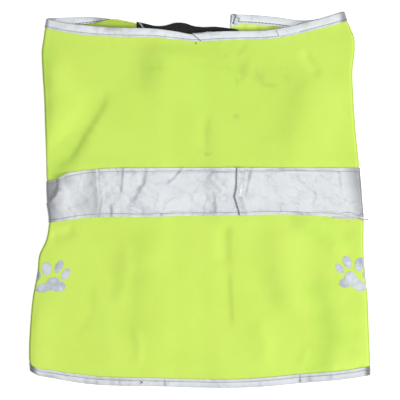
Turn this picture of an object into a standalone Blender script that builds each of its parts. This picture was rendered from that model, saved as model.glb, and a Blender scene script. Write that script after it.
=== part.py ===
"""A high-visibility dog coat laid flat: back panel up, both sides folded under it.

+X is to the right, +Y runs towards the neck and +Z is up. The surface below it is z = 0.
The tables and sizes are in millimetres, and each mesh is written in metres.

The cloth is one sheet. Its columns run round the coat: from the inner end of the left wing,
round the left fold, over the back, round the right fold, to the inner end of the right wing.
Its rows run from hem to neck. Every trim is made from the same points, moved out.
"""

from collections import namedtuple

import bpy
import numpy as np

MM = 0.001

# Walls, and the gap between pieces that are sewn or laid together
CLOTH_WALL = 1.0
TRIM_WALL = 1.0
GAP = 0.3

# One layer more in the pile, or round an edge: a wall and the gap under it
LAYER = TRIM_WALL + GAP

# The folds at the sides are soft rolls of this radius across
ROLL_RADIUS = 2.8

# A lower layer climbs over a trim's edge in this length, and the back climbs later and softer
RAMP = 5.0
BACK_RAMP_START = 6.0
BACK_RAMP = 12.0

# How far the back bellies up over the layers below it, and rolls up at its side folds.
# Each share is what is left of that along the stiffer bindings.
LOOSE = 0.1
BELLY = 1.6
BELLY_SHARE = 0.4
EDGE_RISE = 2.4
EDGE_REACH = 16.0
EDGE_SHARE = 0.35
FOLD_SHARE = 0.3

# A fold keeps its full height along the middle of its line, and fades over a share of its length
FOLD_FULL_FROM = 0.2
FOLD_FULL_TO = 0.8
FOLD_FADE = 0.22

# How sharply the back comes down onto the layers below it, per millimetre
CONTACT_SHARPNESS = 2.0

# Inner ends of the two wings, and the sides of the black panel that joins them
LEFT_WING_END = -53.0
RIGHT_WING_END = 31.5
PANEL_LEFT = -66.0
PANEL_RIGHT = 40.0
PANEL_HEM = -157.0
PANEL_DIP = 7.0
PANEL_TOP_RISE_FROM = 155.0
PANEL_TOP_RISE = 10.0

# Between the wings the back sags within this length onto the panel
SAG_REACH = 16.0

# The two neck strips meet at the dip of the neck: the right one laps over the left one
LAP_START = -8.0
LAP_LOW = 1.0
LAP_END = 8.0
LAP_SETTLED = 16.0
LAP_Y = 170.0

# Where a binding turns round the edge, its corners lie this share of a side's height apart
TURN_SHARE = 0.55

# The left strip runs out in a taper where the wing's edge curls under
TAPER_START = -112.0
TAPER_END = -91.0
TAPER_SHARE = 0.3

# The pleat that crosses the band, and its half width
PLEAT_X = 38.0
PLEAT_HALF = 4.0
PLEAT_Y = 8.0

# Grid of the sheet
WING_COLUMNS = 8
ROLL_COLUMNS = 6
BACK_COLUMNS = 28
CLOSEST_COLUMNS = 6.0
CLOSEST_TAPER_COLUMNS = 5.0
LOWER_ROWS = 9
UPPER_ROWS = 9
BAND_ROWS = 3
PANEL_LAP_COLUMNS = 3
PANEL_FREE_COLUMNS = 8
PANEL_ROWS = 9

# Left and right sides of the coat as seen from above, from hem to neck
Outline = namedtuple("Outline", "y left right")
OUTLINE = (
    Outline(-196, -160.0, 176.5),
    Outline(-187, -164.0, 176.8),
    Outline(-183, -170.0, 177.1),
    Outline(-179, -175.8, 177.4),
    Outline(-173, -177.2, 177.3),
    Outline(-158, -177.9, 176.8),
    Outline(-134, -176.9, 175.7),
    Outline(-100, -173.8, 174.3),
    Outline(-75, -169.1, 171.7),
    Outline(-58, -167.3, 170.5),
    Outline(-42, -160.2, 170.3),
    Outline(-24, -157.3, 170.5),
    Outline(3, -159.2, 168.5),
    Outline(33, -160.0, 165.9),
    Outline(75, -161.2, 161.8),
    Outline(108, -162.3, 159.7),
    Outline(133, -163.9, 158.8),
    Outline(158, -164.4, 161.2),
    Outline(169, -162.6, 160.5),
    Outline(178, -161.7, 156.9),
    Outline(188, -159.8, 152.8),
    Outline(197, -159.4, 149.5),
)

# Hem and neck of the back panel, each with both edges of its folded binding
Edge = namedtuple("Edge", "x low high")
HEM = (
    Edge(-177, -178.0, -171.0),
    Edge(-169, -182.7, -175.4),
    Edge(-158, -184.9, -177.0),
    Edge(-142, -187.9, -179.6),
    Edge(-122, -191.2, -182.0),
    Edge(-105, -192.8, -183.9),
    Edge(-82, -193.8, -184.8),
    Edge(-50, -194.2, -185.6),
    Edge(0, -195.8, -186.8),
    Edge(40, -195.8, -186.7),
    Edge(67, -194.5, -185.2),
    Edge(104, -191.0, -181.6),
    Edge(141, -187.9, -178.7),
    Edge(158, -185.8, -176.5),
    Edge(177, -182.7, -173.4),
)
NECK = (
    Edge(-160, 178.3, 188.0),
    Edge(-142, 174.3, 184.0),
    Edge(-118, 171.0, 181.2),
    Edge(-81, 169.1, 178.8),
    Edge(-50, 168.6, 178.0),
    Edge(-26, 166.6, 175.2),
    Edge(-8, 164.9, 172.2),
    Edge(1, 164.4, 172.6),
    Edge(13, 165.1, 174.4),
    Edge(42, 166.2, 175.4),
    Edge(66, 166.8, 175.9),
    Edge(80, 167.9, 177.5),
    Edge(93, 170.1, 180.0),
    Edge(111, 174.2, 184.8),
    Edge(126, 178.2, 188.3),
    Edge(142, 182.4, 193.3),
    Edge(152, 185.4, 196.0),
)
BAND = (
    Edge(-160, -24.1, 18.9),
    Edge(-147, -22.8, 22.2),
    Edge(-141, -22.0, 26.0),
    Edge(-126, -19.8, 29.5),
    Edge(-104, -18.1, 31.7),
    Edge(-52, -17.9, 32.7),
    Edge(0, -16.6, 33.0),
    Edge(42, -16.4, 33.0),
    Edge(92, -15.5, 32.9),
    Edge(117, -16.8, 32.8),
    Edge(171, -19.1, 32.8),
)

# Hem and neck edges of each wing, from its inner end or from the fold
Wing = namedtuple("Wing", "x hem neck")
LEFT_WING = (
    Wing(-177, -178.0, 188.6),
    Wing(-142, -177.0, 189.3),
    Wing(-114, -176.0, 190.1),
    Wing(-91, -175.5, 187.8),
    Wing(-76, -175.0, 185.4),
    Wing(-53, -174.5, 182.4),
)
RIGHT_WING = (
    Wing(31.5, -177.0, 193.0),
    Wing(58, -177.5, 192.0),
    Wing(79, -178.0, 190.1),
    Wing(109, -179.0, 186.6),
    Wing(130, -180.0, 189.6),
    Wing(150, -181.0, 196.0),
    Wing(177, -182.5, 196.0),
)
WING_BINDING = 9.6

# Top edge of the black panel, slack between the wings
PanelTop = namedtuple("PanelTop", "x y")
PANEL_TOP = (
    PanelTop(-66, 185.2),
    PanelTop(-56, 183.1),
    PanelTop(-46, 180.8),
    PanelTop(-36, 181.3),
    PanelTop(-26, 184.0),
    PanelTop(-15, 183.5),
    PanelTop(-7, 180.8),
    PanelTop(1, 179.7),
    PanelTop(16, 179.9),
    PanelTop(30, 178.4),
    PanelTop(40, 176.8),
)

# The largest soft folds of the back: a line, a half width, and a height that is below 0 in a trough
Fold = namedtuple("Fold", "x_from y_from x_to y_to half height")
FOLDS = (
    Fold(-94, 118, -145, 29, 7, -3.2),
    Fold(-145, 26, -156, -4, 5, -2.2),
    Fold(-134, 151, -114, 91, 13, 2.6),
    Fold(-72, 138, -58, 84, 14, 1.6),
    Fold(-50, 154, -30, 80, 13, -2.2),
    Fold(37, 160, 73, 42, 16, -1.8),
    Fold(151, 120, 89, 38, 14, 2.8),
    Fold(110, 156, 131, 130, 7, -1.4),
    Fold(PLEAT_X, 40, PLEAT_X, -24, 3, -2.4),
    Fold(25, -24, 28, -136, 7, -2.4),
    Fold(71, -65, 105, -131, 9, -2.2),
    Fold(94, -27, 112, -115, 11, 2.6),
    Fold(120, -58, 134, -151, 10, -2.0),
    Fold(123, -38, 167, -136, 9, 2.2),
    Fold(105, -24, 155, -65, 8, -1.8),
    Fold(-109, -42, -104, -96, 13, 2.6),
    Fold(-116, -80, -133, -146, 7, -2.2),
    Fold(-61, -24, -59, -94, 10, -2.0),
    Fold(-159, -38, -128, -29, 6, -1.8),
    Fold(-158, -150, -148, -105, 11, 1.4),
    Fold(-104, -125, -94, -177, 13, -1.4),
    Fold(-12, -104, 0, -176, 26, 1.4),
)

# Rounds in which a point of the sheet settles, and the nudge that finds its slopes
SETTLING_ROUNDS = 6
NUDGE = 1e-4

# Marks along the columns: wing, roll, back, roll and wing each take one unit
LEFT_ROLL, BACK_START, BACK_END, RIGHT_ROLL, LAST = 1.0, 2.0, 3.0, 4.0, 5.0

# Marks along the rows: hem binding, lower cloth, band, upper cloth and neck binding
LOWER_START, BAND_START, UPPER_START, NECK_START, NECK_END = 1.0, 2.0, 3.0, 4.0, 5.0

YELLOW = (0.62, 0.86, 0.10)
TAPE_GREY = (0.66, 0.70, 0.72)
BINDING_GREY = (0.62, 0.66, 0.67)
BLACK = (0.03, 0.03, 0.035)


def curve(table, key, value):
    """A smooth curve through one column of a table, against another column."""
    xs = np.array([getattr(row, key) for row in table], float)
    ys = np.array([getattr(row, value) for row in table], float)
    slopes = np.gradient(ys, xs)

    def at(x):
        x = np.clip(x, xs[0], xs[-1])
        i = np.clip(np.searchsorted(xs, x, side="right") - 1, 0, len(xs) - 2)
        span = xs[i + 1] - xs[i]
        t = (x - xs[i]) / span
        start = (1 + 2 * t) * (1 - t) ** 2 * ys[i] + t * (1 - t) ** 2 * span * slopes[i]
        end = t * t * (3 - 2 * t) * ys[i + 1] + t * t * (t - 1) * span * slopes[i + 1]
        return start + end

    return at


def step(t):
    """0 below 0, 1 above 1, and smooth between."""
    t = np.clip(t, 0, 1)
    return t * t * (3 - 2 * t)


def mix(a, b, t):
    return a + (b - a) * t


left_fold = curve(OUTLINE, "y", "left")
right_fold = curve(OUTLINE, "y", "right")
hem_low = curve(HEM, "x", "low")
hem_high = curve(HEM, "x", "high")
neck_low = curve(NECK, "x", "low")
neck_high = curve(NECK, "x", "high")
band_low = curve(BAND, "x", "low")
band_high = curve(BAND, "x", "high")
left_wing_hem = curve(LEFT_WING, "x", "hem")
left_wing_neck = curve(LEFT_WING, "x", "neck")
right_wing_hem = curve(RIGHT_WING, "x", "hem")
right_wing_neck = curve(RIGHT_WING, "x", "neck")
panel_top = curve(PANEL_TOP, "x", "y")

LOWER_LENGTH = float(band_low(0) - hem_high(0))
UPPER_LENGTH = float(neck_low(0) - band_high(0))


def back_marks(x):
    """The y of each mark of the rows, on the back panel. The bindings reach past both edges."""
    hem = hem_low(x) + LAYER
    neck = neck_high(x) - LAYER
    return hem, hem_high(x), band_low(x), band_high(x), neck_low(x), neck


def wing_marks(x):
    """The y of each mark of the rows, on a wing: the band goes straight on from its fold."""
    left = x < 0
    hem = np.where(left, left_wing_hem(x), right_wing_hem(x)) + LAYER
    neck = np.where(left, left_wing_neck(x), right_wing_neck(x)) - LAYER
    fold = np.where(left, BAND[0].x, BAND[-1].x)
    depth = WING_BINDING - LAYER
    return hem, hem + depth, band_low(fold), band_high(fold), neck - depth, neck


def along_rows(marks, row):
    """The y at a row, between the marks on both sides of it."""
    y = marks[0] + 0 * row
    for i in range(len(marks) - 1):
        y = y + (marks[i + 1] - marks[i]) * np.clip(row - i, 0, 1)
    return y


def past_trim(row):
    """How far a row lies from the nearest trim's edge, in millimetres; 0 under a trim."""
    lower = np.minimum(row - LOWER_START, BAND_START - row) * LOWER_LENGTH
    upper = np.minimum(row - UPPER_START, NECK_START - row) * UPPER_LENGTH
    return np.maximum(np.maximum(lower, upper), 0)


def past_binding(row):
    """How far a row lies from the nearest binding, in millimetres."""
    from_hem = (row - LOWER_START) * LOWER_LENGTH
    from_neck = (NECK_START - row) * UPPER_LENGTH
    return np.maximum(np.minimum(from_hem, from_neck), 0)


def fold_height(x, y):
    """The folds' soft ridges and troughs, each fading out towards its ends."""
    total = 0 * x
    for fold in FOLDS:
        run = np.array((fold.x_to - fold.x_from, fold.y_to - fold.y_from), float)
        length = np.hypot(*run)
        dx = x - fold.x_from
        dy = y - fold.y_from
        along = (dx * run[0] + dy * run[1]) / length
        across = (dx * run[1] - dy * run[0]) / length
        beyond = along - np.clip(along, FOLD_FULL_FROM * length, FOLD_FULL_TO * length)
        fade = np.exp(-((beyond / (FOLD_FADE * length)) ** 2))
        total = total + fold.height * np.exp(-((across / fold.half) ** 2)) * fade
    return total


def outer_layers(row):
    """From the middle of the cloth's wall to the coat's outer face, over a trim where there is one."""
    return CLOTH_WALL / 2 + LAYER * (1 - step(past_trim(row) / RAMP))


def between_wings(x):
    """1 where only the black panel lies below the back, 0 over the wings."""
    start = LEFT_WING_END + PANEL_DIP
    end = RIGHT_WING_END - PANEL_DIP
    return step((x - start) / SAG_REACH) * step((end - x) / SAG_REACH)


def back_height(x, y, row):
    """Middle of the back panel's wall, resting on the layers below it."""
    near_trim = 1 - step((past_trim(row) - BACK_RAMP_START) / BACK_RAMP)
    near_binding = 1 - step((past_binding(row) - BACK_RAMP_START) / BACK_RAMP)
    over_wings = CLOTH_WALL + LAYER * (1 + near_trim)
    over_panel = CLOTH_WALL + LAYER * near_binding * (row > BAND_START)
    below = mix(over_wings, over_panel, between_wings(x)) + LOOSE
    own = CLOTH_WALL / 2 + LAYER * near_binding
    inward = np.minimum(x - left_fold(y), right_fold(y) - x)
    at_fold = np.exp(-((inward / EDGE_REACH) ** 2))
    edge = EDGE_RISE * mix(1, EDGE_SHARE, near_binding) * at_fold
    belly = BELLY * mix(1, BELLY_SHARE, near_binding) * (1 - at_fold)
    rise = belly + edge + fold_height(x, y) * mix(1, FOLD_SHARE, near_binding)
    never_below = np.logaddexp(0, CONTACT_SHARPNESS * rise) / CONTACT_SHARPNESS
    return below + GAP + own + never_below


def sheet_point(column, row):
    """The middle of the cloth's wall at a column and a row.

    A place's x depends on its y through the sides, and its y on its x through the hem and the
    neck, so the two are found in turn until they settle.
    """
    column, row = np.broadcast_arrays(np.asarray(column, float), np.asarray(row, float))
    on_left = column < (BACK_START + BACK_END) / 2
    turn = np.where(on_left, column - LEFT_ROLL, RIGHT_ROLL - column)
    turn = np.clip(turn, 0, 1)
    angle = (turn - 0.5) * np.pi
    upper = step(turn)
    across = np.clip(column - BACK_START, 0, 1)
    wing = np.clip(np.where(on_left, column, LAST - column), 0, 1)
    roll = ROLL_RADIUS * (1 - np.cos(angle))
    y = along_rows(back_marks(0.0), row)
    for _ in range(SETTLING_ROUNDS):
        left = left_fold(y) + outer_layers(row)
        right = right_fold(y) - outer_layers(row)
        back_x = mix(left + ROLL_RADIUS, right - ROLL_RADIUS, across)
        left_x = mix(LEFT_WING_END, left + ROLL_RADIUS, wing)
        right_x = mix(RIGHT_WING_END, right - ROLL_RADIUS, wing)
        side_x = np.where(on_left, left_x, right_x)
        roll_x = np.where(on_left, left + roll, right - roll)
        x = np.where(wing < 1, side_x, np.where(turn < 1, roll_x, back_x))
        y = mix(along_rows(wing_marks(x), row), along_rows(back_marks(x), row), upper)
    fold_x = np.where(on_left, left + ROLL_RADIUS, right - ROLL_RADIUS)
    top = back_height(np.where(turn < 1, fold_x, x), y, row)
    bottom = outer_layers(row)
    rolled = mix(bottom, top, (1 + np.sin(angle)) / 2)
    z = np.where(turn <= 0, bottom, np.where(turn < 1, rolled, top))
    return np.stack((x, y, z), axis=-1)


def sheet_frame(column, row):
    """Points of the sheet, its outward normals and its directions towards the neck."""
    first_column = np.maximum(column - NUDGE, 0)
    last_column = np.minimum(column + NUDGE, LAST)
    first_row = np.maximum(row - NUDGE, 0)
    last_row = np.minimum(row + NUDGE, NECK_END)
    round_coat = sheet_point(last_column, row) - sheet_point(first_column, row)
    to_neck = sheet_point(column, last_row) - sheet_point(column, first_row)
    normal = np.cross(round_coat, to_neck)
    normal /= np.linalg.norm(normal, axis=-1, keepdims=True)
    outward = np.cross(normal, round_coat)
    outward /= np.linalg.norm(outward, axis=-1, keepdims=True)
    return sheet_point(column, row), normal, outward


def back_column(x, y):
    """The column of the back panel that passes a place."""
    start = float(left_fold(y)) + ROLL_RADIUS
    end = float(right_fold(y)) - ROLL_RADIUS
    return BACK_START + (x - start) / (end - start)


def left_wing_column(x):
    """The column of the left wing that passes a place near its neck."""
    fold = float(left_fold(NECK[0].high)) + ROLL_RADIUS
    return (LEFT_WING_END - x) / (LEFT_WING_END - fold)


def spaced(start, end, count):
    """Marks from start up to, and not counting, end."""
    return [start + (end - start) * i / count for i in range(count)]


def thinned(columns, kept, width, closest):
    """The kept columns, and those of the even ones that don't come too close to them."""
    clear = [c for c in columns if min(abs(c - k) for k in kept) * width > closest]
    return clear + kept


def grid_columns():
    """Columns of the sheet, closer at the rolls, the lap of the neck strips and the pleat."""
    lap = [back_column(x, LAP_Y) for x in (LAP_START, LAP_LOW, LAP_END, LAP_SETTLED)]
    pleat = [back_column(PLEAT_X + PLEAT_HALF * side, PLEAT_Y) for side in (-1, 0, 1)]
    taper = [left_wing_column(TAPER_END), left_wing_column(TAPER_START)]
    back_width = OUTLINE[-1].right - OUTLINE[-1].left
    wing_width = LEFT_WING_END - OUTLINE[-1].left
    wing = spaced(0, LEFT_ROLL, WING_COLUMNS)
    back = spaced(BACK_START, BACK_END, BACK_COLUMNS)
    columns = thinned(wing, taper, wing_width, CLOSEST_TAPER_COLUMNS)
    columns += spaced(LEFT_ROLL, BACK_START, ROLL_COLUMNS)
    columns += thinned(back, lap + pleat, back_width, CLOSEST_COLUMNS)
    columns += spaced(BACK_END, RIGHT_ROLL, ROLL_COLUMNS)
    columns += spaced(RIGHT_ROLL, LAST, WING_COLUMNS) + [LAST]
    return np.array(sorted(columns))


def strip_rows(start, length, count):
    """Rows of a plain stretch of cloth, closer where a lower layer climbs over a trim."""
    ramp = RAMP / length
    inner = [start + mix(ramp, 1 - ramp, i / count) for i in range(count + 1)]
    return [start, start + ramp / 2] + inner + [start + 1 - ramp / 2]


def grid_rows():
    rows = [0.0]
    rows += strip_rows(LOWER_START, LOWER_LENGTH, LOWER_ROWS)
    rows += spaced(BAND_START, UPPER_START, BAND_ROWS)
    rows += strip_rows(UPPER_START, UPPER_LENGTH, UPPER_ROWS)
    rows += [NECK_START, NECK_END]
    return np.array(rows)


def material(name, colour, roughness, metallic=0.0):
    made = bpy.data.materials.new(name)
    made.use_nodes = True
    shader = made.node_tree.nodes["Principled BSDF"]
    shader.inputs["Base Color"].default_value = (*colour, 1)
    shader.inputs["Roughness"].default_value = roughness
    shader.inputs["Metallic"].default_value = metallic
    return made


def closed_wall(name, outer, inner, look, turned_under=None):
    """A closed solid between two grids of points, with strips round its four sides.

    All pieces split their squares along the same diagonal of the sheet, so that they stay
    one gap apart. A binding's inner side, which runs back over the sheet, splits the other way.
    """
    columns, rows = outer.shape[:2]
    points = np.concatenate((outer.reshape(-1, 3), inner.reshape(-1, 3))) * MM
    far = columns * rows

    def index(i, j):
        return i * rows + j

    faces = []
    for i in range(columns - 1):
        for j in range(rows - 1):
            a, b = index(i, j), index(i + 1, j)
            c, d = index(i + 1, j + 1), index(i, j + 1)
            halves = ((a, b, d), (b, c, d)) if j == turned_under else ((a, b, c), (a, c, d))
            for half in halves:
                faces.append(half)
                faces.append(tuple(far + corner for corner in reversed(half)))
    rim = [index(i, 0) for i in range(columns)]
    rim += [index(columns - 1, j) for j in range(1, rows)]
    rim += [index(i, rows - 1) for i in range(columns - 2, -1, -1)]
    rim += [index(0, j) for j in range(rows - 2, 0, -1)]
    for a, b in zip(rim, rim[1:] + rim[:1]):
        faces.append((b, a, far + a, far + b))
    mesh = bpy.data.meshes.new(name)
    mesh.from_pydata([tuple(point) for point in points], [], faces)
    mesh.materials.append(look)
    mesh.shade_smooth()
    made = bpy.data.objects.new(name, mesh)
    bpy.context.scene.collection.objects.link(made)
    return made


def coat_cloth(columns, rows):
    point, normal, _ = sheet_frame(columns[:, None], rows[None, :])
    half = CLOTH_WALL / 2
    look = material("Yellow cloth", YELLOW, 0.75)
    return closed_wall("coat_cloth", point + half * normal, point - half * normal, look)


def reflective_band(columns, rows):
    rows = rows[(rows > BAND_START - NUDGE) & (rows < UPPER_START + NUDGE)]
    point, normal, _ = sheet_frame(columns[:, None], rows[None, :])
    low = CLOTH_WALL / 2 + GAP
    high = low + TRIM_WALL
    look = material("Reflective tape", TAPE_GREY, 0.45, 0.2)
    return closed_wall("reflective_band", point + high * normal, point + low * normal, look)


def binding(name, low_columns, edge_columns, low_row, edge_row, lift, look):
    """A strip folded over an edge of the sheet: one wall outside, round the edge and inside.

    The columns of its low side and of its folded edge may differ, which slants an end.
    """
    low_point, low_normal, _ = sheet_frame(low_columns, low_row)
    edge_point, edge_normal, outward = sheet_frame(edge_columns, edge_row)
    if edge_row[0] == 0:
        outward = -outward
    lift = lift[:, None]

    def profile(side, past):
        return [
            low_point + side * low_normal,
            edge_point + side * edge_normal,
            edge_point + TURN_SHARE * side * edge_normal + past * outward,
            edge_point - TURN_SHARE * side * edge_normal + past * outward,
            edge_point - side * edge_normal,
            low_point - side * low_normal,
        ]

    inside = CLOTH_WALL / 2 + GAP + lift
    outer = profile(inside + TRIM_WALL, GAP + lift + TRIM_WALL)
    inner = profile(inside, GAP + lift)
    turned_under = len(outer) - 2
    if edge_row[0] == 0:
        outer.reverse()
        inner.reverse()
        turned_under = 0
    return closed_wall(name, np.stack(outer, 1), np.stack(inner, 1), look, turned_under)


def hem_binding(columns):
    low = np.full(len(columns), LOWER_START)
    edge = np.zeros(len(columns))
    look = material("Hem binding", BINDING_GREY, 0.5, 0.1)
    return binding("hem_binding", columns, columns, low, edge, np.zeros(len(columns)), look)


def neck_binding_left(columns):
    """From its taper on the left wing, round the left fold, to the dip of the neck."""
    start = left_wing_column(TAPER_END)
    end = back_column(LAP_END, LAP_Y)
    columns = columns[(columns > start - NUDGE) & (columns < end + NUDGE)]
    full = left_wing_column(TAPER_START)
    width = mix(TAPER_SHARE, 1, np.clip((columns - start) / (full - start), 0, 1))
    edge = np.full(len(columns), NECK_END)
    look = material("Neck binding left", BINDING_GREY, 0.5, 0.1)
    lift = np.zeros(len(columns))
    return binding("neck_binding_left", columns, columns, edge - width, edge, lift, look)


def neck_binding_right(columns):
    """From its slanted end over the left strip, round the right fold, to the right wing's end."""
    start, low, end, settled = (
        back_column(x, LAP_Y) for x in (LAP_START, LAP_LOW, LAP_END, LAP_SETTLED)
    )
    edge_columns = columns[columns > end - NUDGE]
    low_columns = np.concatenate(([low], edge_columns))
    edge_columns = np.concatenate(([start], edge_columns))
    lift = LAYER * (1 - np.clip((edge_columns - end) / (settled - end), 0, 1))
    edge = np.full(len(edge_columns), NECK_END)
    look = material("Neck binding right", BINDING_GREY, 0.5, 0.1)
    return binding("neck_binding_right", low_columns, edge_columns, edge - 1, edge, lift, look)


def panel_columns():
    """The x of the panel's columns: two laps over the wings, and the free stretch between."""
    over_left = np.linspace(PANEL_LEFT, LEFT_WING_END + 1, PANEL_LAP_COLUMNS)
    free_end = RIGHT_WING_END - PANEL_DIP
    free = np.linspace(LEFT_WING_END + PANEL_DIP, free_end, PANEL_FREE_COLUMNS)
    over_right = np.linspace(RIGHT_WING_END - 1, PANEL_RIGHT, PANEL_LAP_COLUMNS)
    return np.concatenate((over_left, free, over_right))


def panel_rows(x, climb_from, climb_to):
    """The y of the panel's rows: level ones up to past the band, then fanned out to its top edge."""
    lower = np.linspace(PANEL_HEM, climb_from - RAMP, PANEL_ROWS)
    level = np.concatenate((lower, (climb_from + RAMP - 1, climb_to - RAMP + 1)))
    fan = np.linspace(0, 1, PANEL_ROWS)
    upper = mix(climb_to + RAMP, panel_top(x)[:, None], fan[None, :])
    return np.concatenate((np.broadcast_to(level, (len(x), len(level))), upper), axis=1)


def belly_panel():
    """The black panel inside the coat: over both wings' ends, and on the surface between them."""
    climb_from = float(band_low(BAND[0].x)) - RAMP
    climb_to = float(band_high(BAND[-1].x)) + RAMP
    x = panel_columns()
    y = panel_rows(x, climb_from, climb_to)
    x = np.broadcast_to(x[:, None], y.shape)
    on_left = step((LEFT_WING_END + PANEL_DIP - x) / (PANEL_DIP - 1))
    on_right = step((x - RIGHT_WING_END + PANEL_DIP) / (PANEL_DIP - 1))
    at_band = step((y - climb_from + RAMP) / RAMP) * step((climb_to + RAMP - y) / RAMP)
    at_top = step((y - PANEL_TOP_RISE_FROM) / PANEL_TOP_RISE)
    on_surface = TRIM_WALL / 2
    on_wing = on_surface + LAYER * (1 + np.maximum(at_band, at_top))
    z = mix(on_surface, on_wing, np.maximum(on_left, on_right))
    middle = np.stack((x, y, z), axis=-1)
    normal = np.cross(np.gradient(middle, axis=0), np.gradient(middle, axis=1))
    normal /= np.linalg.norm(normal, axis=-1, keepdims=True)
    half = TRIM_WALL / 2
    look = material("Black stretch cloth", BLACK, 0.85)
    return closed_wall("belly_panel", middle + half * normal, middle - half * normal, look)


def centre(pieces):
    """Moves all pieces so that the origin is under the middle of the coat."""
    corners = np.array([v.co for piece in pieces for v in piece.data.vertices])
    low = corners.min(axis=0)
    high = corners.max(axis=0)
    offset = ((low[0] + high[0]) / 2, (low[1] + high[1]) / 2, low[2])
    for piece in pieces:
        for vertex in piece.data.vertices:
            vertex.co -= type(vertex.co)(offset)


def main():
    for old in list(bpy.data.objects):
        bpy.data.objects.remove(old)
    columns = grid_columns()
    rows = grid_rows()
    pieces = [
        coat_cloth(columns, rows),
        reflective_band(columns, rows),
        hem_binding(columns),
        neck_binding_left(columns),
        neck_binding_right(columns),
        belly_panel(),
    ]
    centre(pieces)


main()
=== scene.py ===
"""The looks of a high-visibility dog coat laid flat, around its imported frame.

+X is to the right, +Y runs towards the neck and +Z is up. Tables and sizes are in millimetres
from the middle of the photograph, and every mesh is written in metres in the frame's own place.
The cloth is one sheet. Its columns run round the coat: from the inner end of the left wing,
round the left fold, over the back, round the right fold, to the inner end of the right wing.
Its rows run from hem to neck. Every trim is made from the same points, moved out.
"""

from collections import namedtuple
from functools import reduce

import bpy
import numpy as np
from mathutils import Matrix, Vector
from mathutils.bvhtree import BVHTree


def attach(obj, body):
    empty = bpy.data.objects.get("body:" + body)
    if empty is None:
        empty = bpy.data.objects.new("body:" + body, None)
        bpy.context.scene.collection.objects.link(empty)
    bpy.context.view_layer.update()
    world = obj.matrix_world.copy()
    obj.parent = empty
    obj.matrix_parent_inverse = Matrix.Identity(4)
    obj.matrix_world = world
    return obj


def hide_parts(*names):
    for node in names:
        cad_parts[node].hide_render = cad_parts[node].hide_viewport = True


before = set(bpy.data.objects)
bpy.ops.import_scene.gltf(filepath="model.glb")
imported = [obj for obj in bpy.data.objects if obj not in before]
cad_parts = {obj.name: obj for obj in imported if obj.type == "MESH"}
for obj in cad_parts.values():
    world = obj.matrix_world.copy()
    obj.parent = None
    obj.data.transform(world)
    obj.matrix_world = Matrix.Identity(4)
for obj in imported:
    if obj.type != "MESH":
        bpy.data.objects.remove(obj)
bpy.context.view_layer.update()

MM = 0.001

# Where the middle of the CAD frame lies in the tables below
CENTRE = np.array((-0.28, -0.15, 0.0))

# Walls, and the gap between pieces that are sewn or laid together
CLOTH_WALL = 0.5
TRIM_WALL = 0.45
GAP = 0.1
LAYER = TRIM_WALL + GAP

# The least that a tape or a print stands off what it is on, and the lowest that anything presses
# into the surface that the coat lies on
LEAST_STAND = 0.06
PRESSED = -0.1

# The folds at the sides, the climbs over trims, and how loosely the back lies on the wings
ROLL_RADIUS = 2.8
RAMP = 4.0
BACK_RAMP_START = 5.0
BACK_RAMP = 12.0
LOOSE = 0.4
BELLY = 2.7
BELLY_SHARE = 0.5
EDGE_RISE_LEFT = 2.2
EDGE_RISE_RIGHT = 3.3
EDGE_REACH = 14.0
EDGE_SHARE = 0.4
FOLD_SHARE = 0.5
FOLD_RAMP = 9.0
CONTACT_SHARPNESS = 2.0

# Inner ends of the two wings, and the black panel that joins them
LEFT_WING_END = -53.0
RIGHT_WING_END = 31.5
PANEL_LEFT = -66.0
PANEL_RIGHT = 40.0
PANEL_HEM = -157.0
PANEL_DIP = 7.0
PANEL_TOP_RISE_FROM = 155.0
PANEL_TOP_RISE = 10.0
SAG_REACH = 24.0

# The two neck strips meet at the dip of the neck: the right one laps over the left one
LAP_START = -8.0
LAP_LOW = 1.0
LAP_END = 8.0
LAP_SETTLED = 16.0
LAP_Y = 170.0
LAP_LIFT = 1.1


def table(columns, *rows):
    """Rows of values under named columns."""
    kind = namedtuple("Row", columns)
    return [kind(*row) for row in rows]


# Left and right sides of the coat as seen from above, from hem to neck
OUTLINE = table(
    "y left right", (-196, -160, 176.5), (-187, -164, 176.8), (-183, -170, 177.1), (-179, -175.8, 177.4),
    (-173, -177.2, 177.3), (-158, -177.9, 176.8), (-134, -176.9, 175.7), (-100, -173.8, 174.3),
    (-75, -169.1, 171.7), (-58, -167.3, 170.5), (-42, -160.2, 170.3), (-24, -157.3, 170.5),
    (3, -159.2, 168.5), (33, -160, 165.9), (75, -161.2, 161.8), (108, -162.3, 159.7), (133, -163.9, 158.8),
    (158, -164.4, 161.2), (169, -162.6, 160.5), (178, -161.7, 156.9), (188, -159.8, 152.8),
    (197, -159.4, 149.5),
)
# Hem, neck and band of the back panel, each with both edges of its tape
HEM = table(
    "x low high", (-177, -178, -171), (-169, -182.7, -175.4), (-158, -184.9, -177), (-142, -187.9, -179.6),
    (-122, -191.2, -182), (-105, -192.8, -183.9), (-82, -193.8, -184.8), (-50, -194.2, -185.6),
    (0, -195.8, -186.8), (40, -195.8, -186.7), (67, -194.5, -185.2), (104, -191, -181.6),
    (141, -187.9, -178.7), (158, -185.8, -176.5), (177, -182.7, -173.4),
)
NECK = table(
    "x low high", (-160, 178.3, 188), (-142, 174.3, 184), (-118, 171, 181.2), (-81, 169.1, 178.8),
    (-50, 168.6, 178), (-26, 166.6, 175.2), (-8, 164.9, 172.2), (1, 164.4, 172.6), (13, 165.1, 174.4),
    (42, 166.2, 175.4), (66, 166.8, 175.9), (80, 167.9, 177.5), (93, 170.1, 180), (111, 174.2, 184.8),
    (126, 178.2, 188.3), (142, 182.4, 193.3), (152, 185.4, 196),
)
BAND = table(
    "x low high", (-160, -24.1, 18.9), (-147, -22.8, 22.2), (-141, -22, 26), (-126, -19.8, 29.5),
    (-104, -18.1, 31.7), (-52, -17.9, 32.7), (0, -16.6, 33), (42, -16.4, 33), (92, -15.5, 32.9),
    (117, -16.8, 32.8), (171, -19.1, 32.8),
)
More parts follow.
